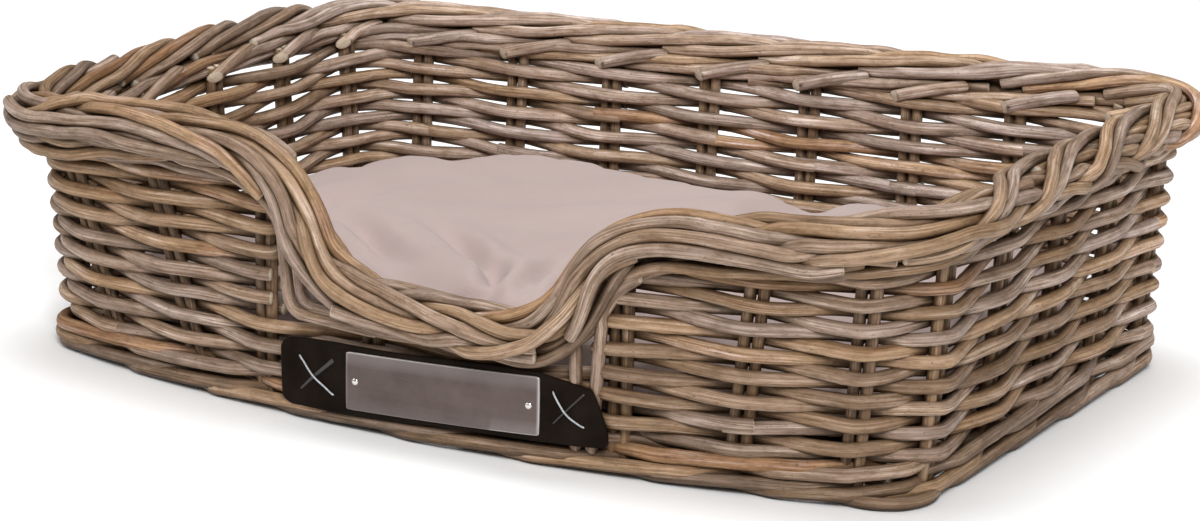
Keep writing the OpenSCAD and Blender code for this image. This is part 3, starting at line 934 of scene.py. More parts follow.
def plaited_strands(random):
    """The back and the sides, where each stake pair's rods pass over those of the pairs before it."""
    strands = []
    for k in range(4, 22):
        start = rim_pair(k) + random.uniform(-3, 3)
        on_back = 9 <= k <= 16
        upper = [(OUTLINE, 0), (LENS, 0)] if on_back else [(CLIMB, 0), (CLIMB, 15)]
        kinds = upper + [(OUTER, 0), (OUTER, 34), (UNDER, 10)] + ([(LOW_INNER, 20)] if k > 8 else [])
        for i, (kind, shift) in enumerate(kinds):
            radius = 3.95 if i < 2 else 3.7
            strands.append(pair_strand(random, BORDER_NODES[(2 * k + i) % 9], kind, start + shift, radius))
    return strands


def marks():
    """Places along the border's front, from the left wall to the right wall, which strands are set by."""
    low = ENTRANCE_HALF
    high = ENTRANCE_HALF + SWEEP_RUN
    middle = ENTRANCE_HALF + SWEEP_RUN / 2
    corner_left = (rim_plan.starts[7] + rim_plan.starts[8]) / 2
    corner_right = (rim_plan.starts[1] + rim_plan.starts[2]) / 2 + rim_plan.length
    places = [
        border.at_plan(rim_plan.side(-1, -79)),
        border.at_plan(corner_left),
        border.front(-195),
        border.front(ENTRANCE_X - high),
        border.front(ENTRANCE_X - middle),
        border.front(ENTRANCE_X - low),
        border.front(ENTRANCE_X) + border.length,
        border.front(ENTRANCE_X + low) + border.length,
        border.front(ENTRANCE_X + middle) + border.length,
        border.front(ENTRANCE_X + high) + border.length,
        border.front(238) + border.length,
        border.at_plan(corner_right),
        border.at_plan(rim_plan.side(1, -79) + rim_plan.length),
    ]
    return np.array(places)


# Each front strand: its marks, headings and reaches, then its hue
FRONT_STRANDS = [
    ([0.0, 0.6, 1.0, 1.5, 2.1, 2.7, 3.5], [10, 25, 35, 15, -10, -15, -25], [15, 15, 16, 15, 14, 14, 12], 0.1),
    ([0.2, 0.7, 1.0, 1.5, 2.2, 3.0], [50, 70, 80, 85, 98, 108], [14, 15, 16, 15, 14, 13], 0.05),
    ([0.98, 1.4, 2.0, 2.7, 3.3, 3.9], [62, 62, 66, 82, 92, 105], [17, 16, 15, 15, 14, 12], 0.12),
    ([1.35, 1.8, 2.3, 2.8, 3.25, 3.6], [-10, 22, 48, 68, 88, 104], [12, 17, 18, 18, 17, 12], 0.78),
    (
        [1.1, 1.35, 1.7, 2.2, 2.7, 3.3, 4.0, 4.8],
        [75, 30, -10, -24, -8, 4, -2, -20],
        [14, 16, 17, 16, 15, 14, 13, 12],
        0.7,
    ),
    ([1.8, 2.3, 2.8, 3.4, 4.0, 4.6, 5.3], [20, 24, 14, 10, 14, 8, -20], [13, 14, 15, 16, 16, 15, 12], 0.82),
    ([2.2, 2.8, 3.3, 3.9, 4.5, 5.1], [55, 48, 52, 62, 72, 90], [12, 14, 15, 15, 14, 12], 0.2),
    ([2.5, 3.0, 3.6, 4.2, 4.8, 5.4, 6.1], [35, 32, 34, 36, 42, 55, 80], [12, 14, 15, 15, 16, 15, 12], 0.5),
    ([2.9, 3.4, 3.9, 4.4, 4.8, 5.2], [80, 78, 80, 88, 96, 105], [13, 14, 15, 15, 14, 12], 0.15),
    ([3.6, 4.2, 4.7, 5.2, 5.8, 6.4], [40, 56, 66, 78, 94, 112], [13, 16, 18, 18, 16, 12], 0.76),
    ([4.2, 4.7, 5.2, 5.8, 6.4, 7.0, 7.4], [12, 22, 36, 52, 70, 92, 108], [12, 15, 16, 18, 18, 15, 12], 0.35),
    ([4.0, 4.6, 5.1, 5.7, 6.4, 7.1, 7.7], [-5, 12, 16, 4, -8, -25, -40], [12, 14, 15, 15, 14, 13, 12], 0.08),
    (
        [4.8, 5.3, 5.9, 6.5, 7.0, 7.6, 8.3, 9.0],
        [60, 44, 26, 14, 8, 0, -10, -22],
        [12, 14, 15, 15, 15, 14, 13, 12],
        0.1,
    ),
    ([5.5, 6.0, 6.5, 7.0, 7.5, 8.0], [38, 44, 50, 64, 80, 96], [12, 15, 16, 16, 15, 12], 0.6),
    ([4.75, 5.2, 5.8, 6.4, 6.9, 7.4], [100, 104, 102, 100, 106, 116], [16, 16, 15, 15, 14, 12], 0.12),
    ([6.2, 6.7, 7.1, 7.6, 8.1, 8.7], [116, 104, 92, 80, 84, 98], [12, 15, 16, 15, 14, 12], 0.5),
    (
        [6.6, 7.0, 7.4, 8.0, 8.6, 9.3, 10.0, 10.8],
        [50, 32, 10, -6, -10, -4, 6, 20],
        [12, 15, 17, 16, 15, 15, 14, 12],
        0.8,
    ),
    (
        [6.3, 6.9, 7.5, 8.1, 8.7, 9.3, 10.0, 10.6],
        [80, 58, 38, 24, 22, 28, 40, 60],
        [12, 14, 15, 16, 16, 15, 14, 12],
        0.1,
    ),
    ([7.1, 7.6, 8.2, 8.8, 9.4, 10.0, 10.8], [86, 66, 50, 48, 56, 66, 84], [12, 14, 15, 16, 15, 14, 13], 0.3),
    ([7.7, 8.2, 8.7, 9.3, 9.9, 10.5], [96, 84, 74, 78, 88, 100], [12, 15, 16, 15, 14, 12], 0.12),
    ([8.4, 9.0, 9.6, 10.2, 10.8, 11.4, 11.9], [10, 4, 0, 4, 20, 40, 60], [12, 13, 15, 15, 15, 14, 12], 0.45),
    ([8.8, 9.4, 10.0, 10.5, 11.0, 11.6], [30, 32, 34, 44, 60, 80], [12, 14, 14, 14, 14, 12], 0.72),
    ([9.1, 9.7, 10.3, 10.9, 11.3], [62, 64, 72, 84, 98], [12, 13, 14, 14, 12], 0.25),
    ([9.5, 10.0, 10.5, 11.0, 11.5, 12.2], [-30, -20, 0, 20, 50, 90], [12, 14, 16, 16, 15, 12], 0.15),
    ([9.9, 10.4, 10.8, 11.1, 11.6, 12.1], [96, 86, 84, 86, 92, 104], [12, 14, 15, 15, 14, 12], 0.5),
    ([3.2, 3.8, 4.4, 5.0, 5.6, 6.2], [-40, -30, -38, -50, -44, -60], [12, 13, 13, 13, 13, 12], 0.7),
    ([5.2, 5.9, 6.6, 7.3, 8.0, 8.8], [-70, -60, -52, -60, -52, -70], [12, 13, 13, 13, 13, 12], 0.3),
    ([7.6, 8.3, 9.0, 9.8, 10.6], [-60, -46, -40, -52, -80], [12, 13, 13, 13, 12], 0.1),
    ([0.6, 1.2, 1.9, 2.6, 3.3, 4.1], [-50, -44, -52, -58, -62, -76], [12, 13, 13, 13, 13, 12], 0.3),
    ([9.4, 10.2, 10.8, 11.3, 12.0], [-80, -70, -50, -48, -90], [12, 13, 14, 14, 12], 0.5),
]


def front_strands(random):
    places = marks()
    strands = []
    for i, (at, headings, reaches, hue) in enumerate(FRONT_STRANDS):
        d = np.interp(at, np.arange(len(places)), places)
        headings = np.asarray(headings) + random.uniform(-3, 3)
        hue = float(np.clip(hue + random.uniform(-0.05, 0.05), 0, 1))
        reaches = np.asarray(reaches) * 0.95
        shade = random.uniform(-0.4, 1)
        strands.append(Strand(BORDER_NODES[i % 9], d, headings, reaches, 4.1, hue, shade))
    return strands


# Where the lining's rods start, in places along the front, for each heading
LINING_STARTS = {
    150: [0.2, 2.2, 4.2, 6.3, 8.3, 10.2],
    176: [0.8, 3.0, 5.1, 7.2, 9.4],
    -112: [0.4, 2.6, 4.8, 7.0, 9.0],
}


def lining_strands(random):
    """Rods under the border along the front, which close it against the weave."""
    places = marks()
    strands = []
    for heading, starts in LINING_STARTS.items():
        for start in starts:
            at = np.linspace(start, min(12, start + 2.3), 7)
            d = np.interp(at, np.arange(len(places)), places)
            headings = heading + random.uniform(-9, 9, 7)
            reaches = np.array([9, 11.5, 12, 12, 12, 11.5, 9])
            node = random.choice(BORDER_NODES)
            hue = pick_hue(random)
            shade = random.uniform(-1, 0.5)
            strands.append(Strand(node, d, headings, reaches, 3.7, hue, shade))
    return strands


def core_strands():
    """Rods inside the rope, which show only as the dark behind the others."""
    strands = []
    for turn in range(3):
        for i in range(5):
            d = np.linspace(i, i + 1.02, 14) * border.length / 5
            heading = turn * 120 + 40 * np.sin(d / 60 + turn)
            node = BORDER_NODES[(turn * 5 + i) % 9]
            strands.append(Strand(node, d, heading, np.full(len(d), 4.6), 4.2, 0.3, -1))
    return strands


def build_border():
    random = np.random.default_rng(31)
    strands = plaited_strands(random) + front_strands(random) + lining_strands(random)
    settle(strands, 3.5)
    strands += core_strands()
    collected = {node: Rods(300 + i) for i, node in enumerate(BORDER_NODES)}
    for s in strands:
        collected[s.node].add(s.line, s.radius, s.hue, s.shade, cut=s.cut)
    for i, (node, rods) in enumerate(collected.items()):
        rods.build(f"plait_{i + 1}", node, "border_rattan", border_rattan)


def build_cut_ends():
    """Trimmed tips that come back through the wall and end just inside it, beside the stake pairs."""
    rods = Rods(340)
    random = rods.random
    for k in range(4, 22):
        d = rim_pair(k) + 5 + random.uniform(-3, 3)
        places = np.arange(d - 46, d + 5, 4.0)
        share = (places - places[0]) / (places[-1] - places[0])
        line = border.at(places, mix(-88, -116, share), mix(13, 22.5, share))
        rods.add(line, 4.3, pick_hue(random), random.uniform(0, 1), slant=1.1)
    rods.build("cut_ends", "border_cut_ends", "border_rattan", border_rattan)


def build_entrance_rods():
    """Rods beside the entrance: on the left they bend along its edge, on the right up into the border."""
    rods = Rods(350)
    for x, low, reach in ((-86, 67, 66), (-77, 73, 54)):
        plan = wall_plan(low)
        line = []
        for z in np.linspace(128, low + 8, 10):
            s = plan.front(x - 0.12 * (z - low))
            xy, _normal = wall_plan(z).at([s], 8.5)
            line.append((*xy[0], z))
        for turn in np.linspace(0.2, 1.4, 4):
            s = plan.front(x + 8 * (1 - math.cos(turn)))
            xy, _normal = plan.at([s], 8.5)
            line.append((*xy[0], low + 8 * (1 - math.sin(turn))))
        for along in np.linspace(9, reach, 8):
            xy, _normal = plan.at([plan.front(x + along)], 9.5 + along / 40)
            line.append((*xy[0], low - along / 40))
        rods.add(resample(np.array(line), 3), 3.9, 0.25, 0.7)
    for x, lean in ((112, 0.02), (122, 0.10)):
        line = []
        for z in np.linspace(14, 92, 14):
            xy, _normal = wall_plan(z).at([wall_plan(z).front(x + lean * (z - 14))], 5.0 + z / 20)
            line.append((*xy[0], z))
        for turn in np.linspace(0.15, 1.3, 8):
            bend = 34
            z = 92 + bend * math.sin(turn)
            place = wall_plan(z).front(x + lean * 78 + bend * (1 - math.cos(turn)))
            xy, _normal = wall_plan(z).at([place], 12)
            line.append((*xy[0], z))
        rods.add(resample(np.array(line), 3), 3.9, 0.2, 0.6)
    rods.build("entrance_bends", "entrance_rods", "border_rattan", border_rattan)


# ---- Base ----

STICK_PITCH = 78.9
STICK_Z = 11.3
BASE_ROWS = 27
BASE_PITCH = 15.2
BASE_EDGE = 11.5


def base_half(y):
    """Half the length of a base rod at y, inside the walls."""
    plan = wall_plan(18)
    s = np.linspace(0, plan.length / 2, 900)
    xy, _normal = plan.at(s, -BASE_EDGE)
    near = np.abs(xy[:, 1] - y) < 4
    return float(xy[near, 0].max()) if near.any() and abs(y) < 200 else 0


def build_base():
    """Rods that weave over and under the base's pairs of sticks."""
    plan = wall_plan(18)
    xy, _normal = plan.at([0.0], -BASE_EDGE)
    first = xy[0, 1] + 3.6
    for start, name in ((0, "upper"), (1, "lower")):
        rods = Rods(400 + start)
        for i in range(start, BASE_ROWS, 2):
            y = first + i * BASE_PITCH
            half = base_half(y)
            if half < 30:
                continue
            x = np.arange(-half, half, 5.0)
            swing = np.cos(math.pi * (x / STICK_PITCH + 0.5 + i))
            z = STICK_Z + 6.8 * np.sign(swing) * np.abs(swing) ** 0.7
            line = np.column_stack([x, y + smooth_noise(rods.random, len(x), 16, 1.2), z])
            rods.add(line, 3.4, pick_hue(rods.random), rods.random.uniform(-1, 0.6))
        rods.build(f"base_rods_{name}", f"base_weave_{name}", "base_rattan", base_rattan)
    rods = Rods(410)
    plan = wall_plan(STICK_Z)
    for i in range(8):
        for side in (-0.5, 0.5):
            x = (i - 3.5) * STICK_PITCH + side * 7.8
            front, _normal = plan.at([plan.front(x)])
            back, _normal = plan.at([plan.back(x)])
            line = np.array([(x, front[0, 1], STICK_Z), (x, back[0, 1], STICK_Z)])
            rods.add(resample(line, 6), 3.5, rods.random.uniform(0.3, 0.7), rods.random.uniform(-1, 0.5))
    rods.build("base_stick_pairs", "base_sticks", "base_rattan", base_rattan)


# ---- Name tag ----

TAG_Z = 34
TAG_LENGTH = 226
TAG_HEIGHT = 43
LEATHER = 2.5
TAG_GAP = 0.6
TAG_TILT = 0.042
TAG_LIFT = 1.5
tag_plan = wall_plan(TAG_Z)
TAG_R = tag_plan.front_r + 7.4 + 3.5 + TAG_GAP
TAG_TURN = math.asin(ENTRANCE_X / TAG_R)


def on_tag(along, up, proud):
    """The point of the tag at a distance along it, a height from its middle and a distance off its back."""
    along, up, proud = np.broadcast_arrays(*(np.asarray(v, float) for v in (along, up, proud)))
    turn = TAG_TURN + along / TAG_R
    radius = TAG_R + proud
    x = radius * np.sin(turn)
    y = tag_plan.front_c - radius * np.cos(turn) + CENTRE_Y
    return np.stack([x, y, TAG_Z + up + TAG_LIFT + TAG_TILT * along], -1)


def mesh_piece(name, vertices, faces, material, body, nodes, smooth=True):
    mesh = bpy.data.meshes.new(name)
    mesh.from_pydata([tuple(v) for v in np.asarray(vertices) * MM], [], [tuple(f) for f in faces])
    mesh.validate()
    mesh.update()
    mesh.polygons.foreach_set("use_smooth", [smooth] * len(mesh.polygons))
    mesh.materials.append(material)
    piece = bpy.data.objects.new(name, mesh)
    bpy.context.collection.objects.link(piece)
    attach(piece, body)
    if nodes:
        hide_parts(*nodes)
    return piece


def corner_drop(distance, radius):
    """How far a round corner has dropped at a distance from the end."""
    d = np.clip(distance, 0, radius)
    return radius - np.sqrt(radius**2 - (radius - d) ** 2)


def tag_edges(along):
    """Top and bottom of the leather at a distance along it. The right end hangs down to a point."""
    half = TAG_LENGTH / 2
    high = TAG_HEIGHT / 2
    left = along + half
    right = half - along
    top = high - corner_drop(left, 8) - 8.4 * np.clip((along - 65) / 38, 0, 1)
    slant = np.clip((along - 102) / 11, 0, 1)
    top = top - 25 * slant**1.5 + 0.5 * np.sin(along / 17)
    bottom = -high + corner_drop(left, 8) + corner_drop(right, 4) + 0.5 * np.sin(along / 23 + 1)
    return top, bottom


# Half the length of the leather patch
LEATHER_HALF = 113


def leather_puckers(along, up):
    """The leather is drawn in at its crosses of thread and curls at its ends."""
    half = TAG_LENGTH / 2
    dip = 0
    for side in (-1, 1):
        away = np.hypot(along - side * 87, up)
        dip = dip - 1.3 * np.exp(-((away - 14) ** 2) / 30)
        dip = dip + 0.9 * np.exp(-(away**2) / 60)
    outside = np.clip((np.abs(along) - 72) / (half - 72), 0, 1)
    curl = 3.2 * outside**3 * np.where(along > 0, 0.4 + up / 30, 0.5 + up / 60)
    edge = np.clip((np.abs(up) - 15) / 7, 0, 1)
    return outside**0.5 * dip + curl + 0.9 * edge**2 * np.sin(along / 13) * outside**0.3


def build_leather():
    columns = np.concatenate([
        [-113.0, -112.8, -112.2, -111.2, -109.8, -108, -106],
        np.linspace(-104, 100, 129),
        np.linspace(101, 112, 12),
        [112.5, 112.85, 113.0],
    ])
    rows = np.array([0, 0.012, 0.035, 0.07, *np.linspace(0.12, 0.88, 17), 0.93, 0.965, 0.988, 1])
    top, bottom = tag_edges(columns)
    along = np.repeat(columns[:, None], len(rows), 1)
    up = bottom[:, None] + (top - bottom)[:, None] * rows[None, :]
    wrinkle = sum(
        0.16 * np.sin(along / length + up / high + phase)
        for length, high, phase in ((9, 14, 0.4), (5.5, -9, 1.9), (17, 6, 3.1))
    )
    outside = np.clip((np.abs(along) - 70) / 8, 0, 1)
    proud = leather_puckers(along, up) + wrinkle * outside
    from_ends = LEATHER_HALF - np.abs(along)
    edge = np.minimum(from_ends, np.minimum(up - bottom[:, None], top[:, None] - up))
    round_over = 0.8 * (1 - np.clip(edge / 1.2, 0, 1)) ** 2
    groove = 0.35 * np.exp(-((edge - 3.6) ** 2) / 0.5)
    front = on_tag(along, up, LEATHER + proud - round_over - groove)
    back = on_tag(along, up, proud + round_over * 0.6)
    nu, nv = along.shape
    vertices = np.concatenate([front.reshape(-1, 3), back.reshape(-1, 3)])
    total = nu * nv
    faces = []
    for i in range(nu - 1):
        for j in range(nv - 1):
            a = i * nv + j
            quad = (a, a + nv, a + nv + 1, a + 1)
            faces.append(quad)
            faces.append(tuple(total + v for v in reversed(quad)))
    rim = [i * nv for i in range(nu)] + [(nu - 1) * nv + j for j in range(1, nv)]
    rim += [i * nv + nv - 1 for i in range(nu - 2, -1, -1)] + [j for j in range(nv - 2, 0, -1)]
    for a, b in zip(rim, rim[1:] + rim[:1]):
        faces.append((b, a, a + total, b + total))
    return mesh_piece("tag_leather", vertices, faces, leather, "basket", ["leather_patch"])


def thread_tube(line, radius, sides=10, twist=0.0):
    """A two-ply thread's tube along a line."""
    line = resample(np.asarray(line, float), 0.7)
    tangent = np.gradient(line, axis=0)
    tangent /= np.linalg.norm(tangent, axis=1)[:, None]
    across = np.cross(tangent, np.tile([0.0, 1.0, 0.0], (len(line), 1)))
    across /= np.linalg.norm(across, axis=1)[:, None]
    up = np.cross(across, tangent)
    angle = np.linspace(0, 2 * math.pi, sides, endpoint=False)
    along = np.arange(len(line)) * 0.7
    size = radius * (0.82 + 0.18 * np.abs(np.cos(angle[None, :] - twist * along[:, None])))
    rings = line[:, None] + size[..., None] * (
        across[:, None] * np.cos(angle)[None, :, None] + up[:, None] * np.sin(angle)[None, :, None]
    )
    faces = []
    for i in range(len(line) - 1):
        for j in range(sides):
            k = (j + 1) % sides
            faces.append((i * sides + j, i * sides + k, (i + 1) * sides + k, (i + 1) * sides + j))
    faces.append(tuple(reversed(range(sides))))
    faces.append(tuple((len(line) - 1) * sides + j for j in range(sides)))
    return rings.reshape(-1, 3), faces


def joined(parts):
    vertices, faces, base = [], [], 0
    for part_vertices, part_faces in parts:
        vertices.append(part_vertices)
        faces.extend(tuple(v + base for v in face) for face in part_faces)
        base += len(part_vertices)
    return np.concatenate(vertices), faces


def lace(line, width, thick):
    """A flat lace along a line of the tag, given as distances along it, heights and how proud it lies."""
    along, up, proud = line
    step = np.column_stack([np.gradient(along), np.gradient(up)])
    step /= np.linalg.norm(step, axis=1)[:, None]
    corners = []
    for side, rise in ((-1, 0), (-0.8, thick), (0.8, thick), (1, 0)):
        shift = side * width / 2
        corners.append(on_tag(along - step[:, 1] * shift, up + step[:, 0] * shift, proud + rise))
    vertices = np.stack(corners, 1)
    faces = []
    for i in range(len(along) - 1):
        for j in range(4):
            k = (j + 1) % 4
            faces.append((i * 4 + j, (i + 1) * 4 + j, (i + 1) * 4 + k, i * 4 + k))
    faces.append((0, 1, 2, 3))
    last = 4 * (len(along) - 1)
    faces.append((last + 3, last + 2, last + 1, last))
    return vertices.reshape(-1, 3), faces


# Each cross: its name, its middle along the tag, half its width and height and how far its bright thread sags
CROSSES = [("left", -87, 13.5, 11.5, 0.6), ("right", 88, 10.5, 10.5, 2.6)]


def build_stitches():
    """A cross at each end of the tag: a round waxed thread over a darker flat lace."""
    t = np.linspace(-1, 1, 31)
    for name, middle, half_x, half_z, sag in CROSSES:
        along = middle + half_x * t
        up = -half_z * t - sag * (1 - t * t)
        proud = LEATHER + 0.9 + 0.9 * np.exp(-((t / 0.4) ** 2)) - 2.4 * np.abs(t) ** 14
        round_line = on_tag(along, up, proud + leather_puckers(along, up))
        rise = half_z * t
        lie = LEATHER + 0.25 - 2.0 * np.abs(t) ** 14 + leather_puckers(along, rise)
        width = mix(1.4, 3.0, (t + 1) / 2) if name == "left" else mix(0.9, 1.3, (t + 1) / 2)
        flat_line = (along, rise, lie)
        parts = [thread_tube(round_line, 0.6, twist=2.2), lace(flat_line, width, 0.5)]
        vertices, faces = joined(parts)
        replaced = [f"stitch_{name}"]
        piece = mesh_piece(f"cross_{name}", vertices, faces, thread, "basket", replaced)
        dark = np.concatenate([np.zeros(len(parts[0][0])), np.ones(len(parts[1][0]))])
        piece.data.attributes.new("dark", "FLOAT", "POINT").data.foreach_set("value", dark)


PLATE_ALONG = 3
PLATE_HALF = (67, 18)
PLATE_THICK = 1.0
PIN_REACH = 60


def build_plate():
    """The blank plate, bent to the tag, with a bright edge that is partly wear and partly a painted highlight
    along the top and the right end, and a domed pin at each end.
    """
    columns = np.concatenate([[-1, -0.997, -0.99], np.linspace(-0.97, 0.97, 41), [0.99, 0.997, 1]])
    rows = np.array([-1, -0.985, -0.95, -0.5, 0, 0.5, 0.95, 0.985, 1])
    u, v = np.meshgrid(columns, rows, indexing="ij")
    half_x, half_z = PLATE_HALF
    edge = np.minimum((1 - np.abs(u)) * half_x, (1 - np.abs(v)) * half_z)
    round_off = 0.45 * np.clip(1 - edge / 0.9, 0, 1) ** 2
    along = PLATE_ALONG + half_x * u * (1 - 0.008 * np.abs(v) ** 16)
    up = half_z * v * (1 - 0.03 * np.abs(u) ** 60)
    front = on_tag(along, up, LEATHER + 0.3 + PLATE_THICK - round_off)
    back = on_tag(along, up, LEATHER - 0.3)
    nu, nv = u.shape
    total = nu * nv
    faces = []
    for i in range(nu - 1):
        for j in range(nv - 1):
            a = i * nv + j
            quad = (a, a + nv, a + nv + 1, a + 1)
            faces += [quad, tuple(total + k for k in reversed(quad))]
    rim = [i * nv for i in range(nu)] + [(nu - 1) * nv + j for j in range(1, nv)]
    rim += [i * nv + nv - 1 for i in range(nu - 2, -1, -1)] + list(range(nv - 2, 0, -1))
    faces += [(b, a, a + total, b + total) for a, b in zip(rim, rim[1:] + rim[:1])]
    vertices = np.concatenate([front.reshape(-1, 3), back.reshape(-1, 3)])
    piece = mesh_piece("tag_plate", vertices, faces, plate_material(), "basket", ["name_plate"])
    # The bright edge: worn metal all round, with a painted highlight that makes it full strength along the
    # top and the right end
    worn = np.clip(1 - edge / 1.1, 0, 1) * np.where((v > 0.5) | (u > 0.5), 1.0, 0.4)
    piece.data.attributes.new("worn", "FLOAT", "POINT").data.foreach_set("value", np.tile(worn.ravel(), 2))
    parts = []
    for side in (-1, 1):
        rings = []
        for turn in np.linspace(0, math.pi / 2 * 0.96, 8):
            a = np.linspace(0, 2 * math.pi, 24, endpoint=False)
            size = 2.4 * math.cos(turn)
            rings.append(on_tag(
                PLATE_ALONG + side * PIN_REACH + size * np.cos(a), size * np.sin(a),
                LEATHER + 0.9 + 1.5 * math.sin(turn),
            ))
        dome_faces = [
            (i * 24 + j, i * 24 + (j + 1) % 24, (i + 1) * 24 + (j + 1) % 24, (i + 1) * 24 + j)
            for i in range(7) for j in range(24)
        ]
        dome_faces += [tuple(range(7 * 24, 8 * 24)), tuple(reversed(range(24)))]
        parts.append((np.concatenate(rings), dome_faces))
    pin_vertices, pin_faces = joined(parts)
    pin_steel = steel_material("pin_steel", (0.70, 0.67, 0.63), 0.25)
    mesh_piece("tag_pins", pin_vertices, pin_faces, pin_steel, "basket", ["plate_pins"])


def leather_material():
    n = Nodes("tag_leather")
    place = n.node("ShaderNodeTexCoord").outputs["Object"]
    broad = n.noise(place, 40, 3)
    pores = n.node("ShaderNodeTexVoronoi", feature="DISTANCE_TO_EDGE")
    n.link(place, pores.inputs["Vector"])
    pores.inputs["Scale"].default_value = 900
    colour = n.ramp(broad, [(0.3, (0.007, 0.0045, 0.0033)), (0.7, (0.014, 0.0095, 0.0072))])
    n.set(Base_Color=colour, Roughness=n.fade(broad, 0.3, 0.7, 0.34, 0.52))
    n.shader.inputs["Specular IOR Level"].default_value = 0.02
    height = n.math("ADD", n.math("MULTIPLY", pores.outputs["Distance"], 0.8), n.noise(place, 220, 3))
    n.bump(height, 0.0004, 0.5)
    return n.material


def thread_material():
    n = Nodes("waxed_thread")
    place = n.node("ShaderNodeTexCoord").outputs["Object"]
    fibre = n.noise(place, 900, 3)
    colour = n.ramp(fibre, [(0.3, (0.22, 0.23, 0.24)), (0.7, (0.52, 0.54, 0.56))])
    colour = n.blend(n.attribute("dark"), colour, (0.030, 0.027, 0.026))
    n.set(Base_Color=colour, Roughness=0.5)
    n.bump(fibre, 0.0002, 0.5)
    return n.material


def plate_material():
    """Dull brushed metal with faint stains and a few fine scratches."""
    n = Nodes("tag_plate")
    place = n.node("ShaderNodeTexCoord").outputs["Object"]
    brushed = n.noise(n.stretch(place, (14, 14, 2600)), 1.0, 4, 0.7)
    stain = n.noise(place, 55, 4)
    colour = n.ramp(stain, [(0.3, (0.085, 0.061, 0.054)), (0.7, (0.122, 0.092, 0.084))])
    colour = n.blend(n.fade(brushed, 0.4, 0.7, 0.0, 0.35), colour, (0.165, 0.132, 0.124))
    # The bright edge's colour: worn metal, and a painted highlight along the top and the right end
    colour = n.blend(n.attribute("worn"), colour, (0.62, 0.58, 0.56))
    n.set(Base_Color=colour, Roughness=n.fade(brushed, 0.3, 0.7, 0.34, 0.52))
    n.shader.inputs["Metallic"].default_value = 0.7
    n.bump(brushed, 0.00012, 0.35)
    return n.material


def steel_material(name, colour, roughness):
    n = Nodes(name)
    place = n.node("ShaderNodeTexCoord").outputs["Object"]
    wear = n.noise(place, 400, 3)
    n.set(Base_Color=(*colour, 1), Roughness=n.fade(wear, 0.3, 0.7, roughness - 0.08, roughness + 0.08))
    n.shader.inputs["Metallic"].default_value = 1.0
    n.bump(wear, 0.00005, 0.2)
    return n.material


def dress(node, material):
    """Gives a CAD node a better material."""
    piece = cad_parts[node]
    piece.data.materials.clear()
    piece.data.materials.append(material)


leather = leather_material()
thread = thread_material()


# ---- Cushion ----

CUSHION_Z = 22.6
CUSHION_ROOM = 17.5


def cotton_material():
    """Plain-woven cotton: a fine weave, slubs and soft unevenness of tone."""
    n = Nodes("cushion_cotton")
    place = n.node("ShaderNodeTexCoord").outputs["Object"]
    warp = n.node("ShaderNodeTexWave", bands_direction="X")
    weft = n.node("ShaderNodeTexWave", bands_direction="Y")
    for wave_node in (warp, weft):
        n.link(place, wave_node.inputs["Vector"])
        wave_node.inputs["Scale"].default_value = 420
        wave_node.inputs["Distortion"].default_value = 1.2
        wave_node.inputs["Detail"].default_value = 1
    cloth = n.math("MULTIPLY", warp.outputs["Fac"], weft.outputs["Fac"])
    slub_x = n.noise(n.stretch(place, (60, 900, 60)), 1.0, 3)
    slub_y = n.noise(n.stretch(place, (900, 60, 60)), 1.0, 3)
    tone = n.noise(place, 9, 3)
    colour = n.ramp(tone, [(0.25, (0.365, 0.282, 0.264)), (0.75, (0.410, 0.322, 0.303))])
    slubs = n.math("MAXIMUM", slub_x, slub_y)
    colour = n.blend(n.fade(slubs, 0.55, 0.75, 0.0, 0.25), colour, (0.47, 0.38, 0.36))
    n.set(Base_Color=colour, Roughness=0.92)
    n.shader.inputs["Sheen Weight"].default_value = 0.15
    n.shader.inputs["Sheen Roughness"].default_value = 0.5
    n.shader.inputs["Specular IOR Level"].default_value = 0.2
    n.bump(n.math("ADD", cloth, slubs), 0.00025, 0.5)
    return n.material


def cushion_start():
    """A closed, slack form a little smaller than the finished cushion."""
    plan = wall_plan(CUSHION_Z)
    outline = Plan(plan.a - CUSHION_ROOM - 6, plan.k + WALL_CORNER - CUSHION_ROOM - 6, 40, 33)
    around = 150
    s = np.linspace(0, outline.length, around, endpoint=False)
    edge, _normal = outline.at(s)
    rings = []
    top, band = 47, 15
    for share, height in ((0.0, top), (0.25, top), (0.5, top - 0.5), (0.72, top - 2), (0.88, top - 6),
                          (0.96, top - 12), (1.0, band + 14), (1.0, band), (0.97, 6), (0.92, 1), (0.8, 0),
                          (0.5, 0), (0.25, 0), (0.0, 0)):
        points = edge * max(share, 0.02)
        level = np.full(around, CUSHION_Z + 1.5 + height)
        rings.append(np.column_stack([points[:, 0], points[:, 1] + CENTRE_Y, level]))
    vertices = np.concatenate(rings)
    faces = []
    for i in range(len(rings) - 1):
        for j in range(around):
            k = (j + 1) % around
            faces.append((i * around + k, i * around + j, (i + 1) * around + j, (i + 1) * around + k))
    faces.append(tuple(range(around)))
    faces.append(tuple(reversed(range((len(rings) - 1) * around, len(rings) * around))))
    return vertices, faces


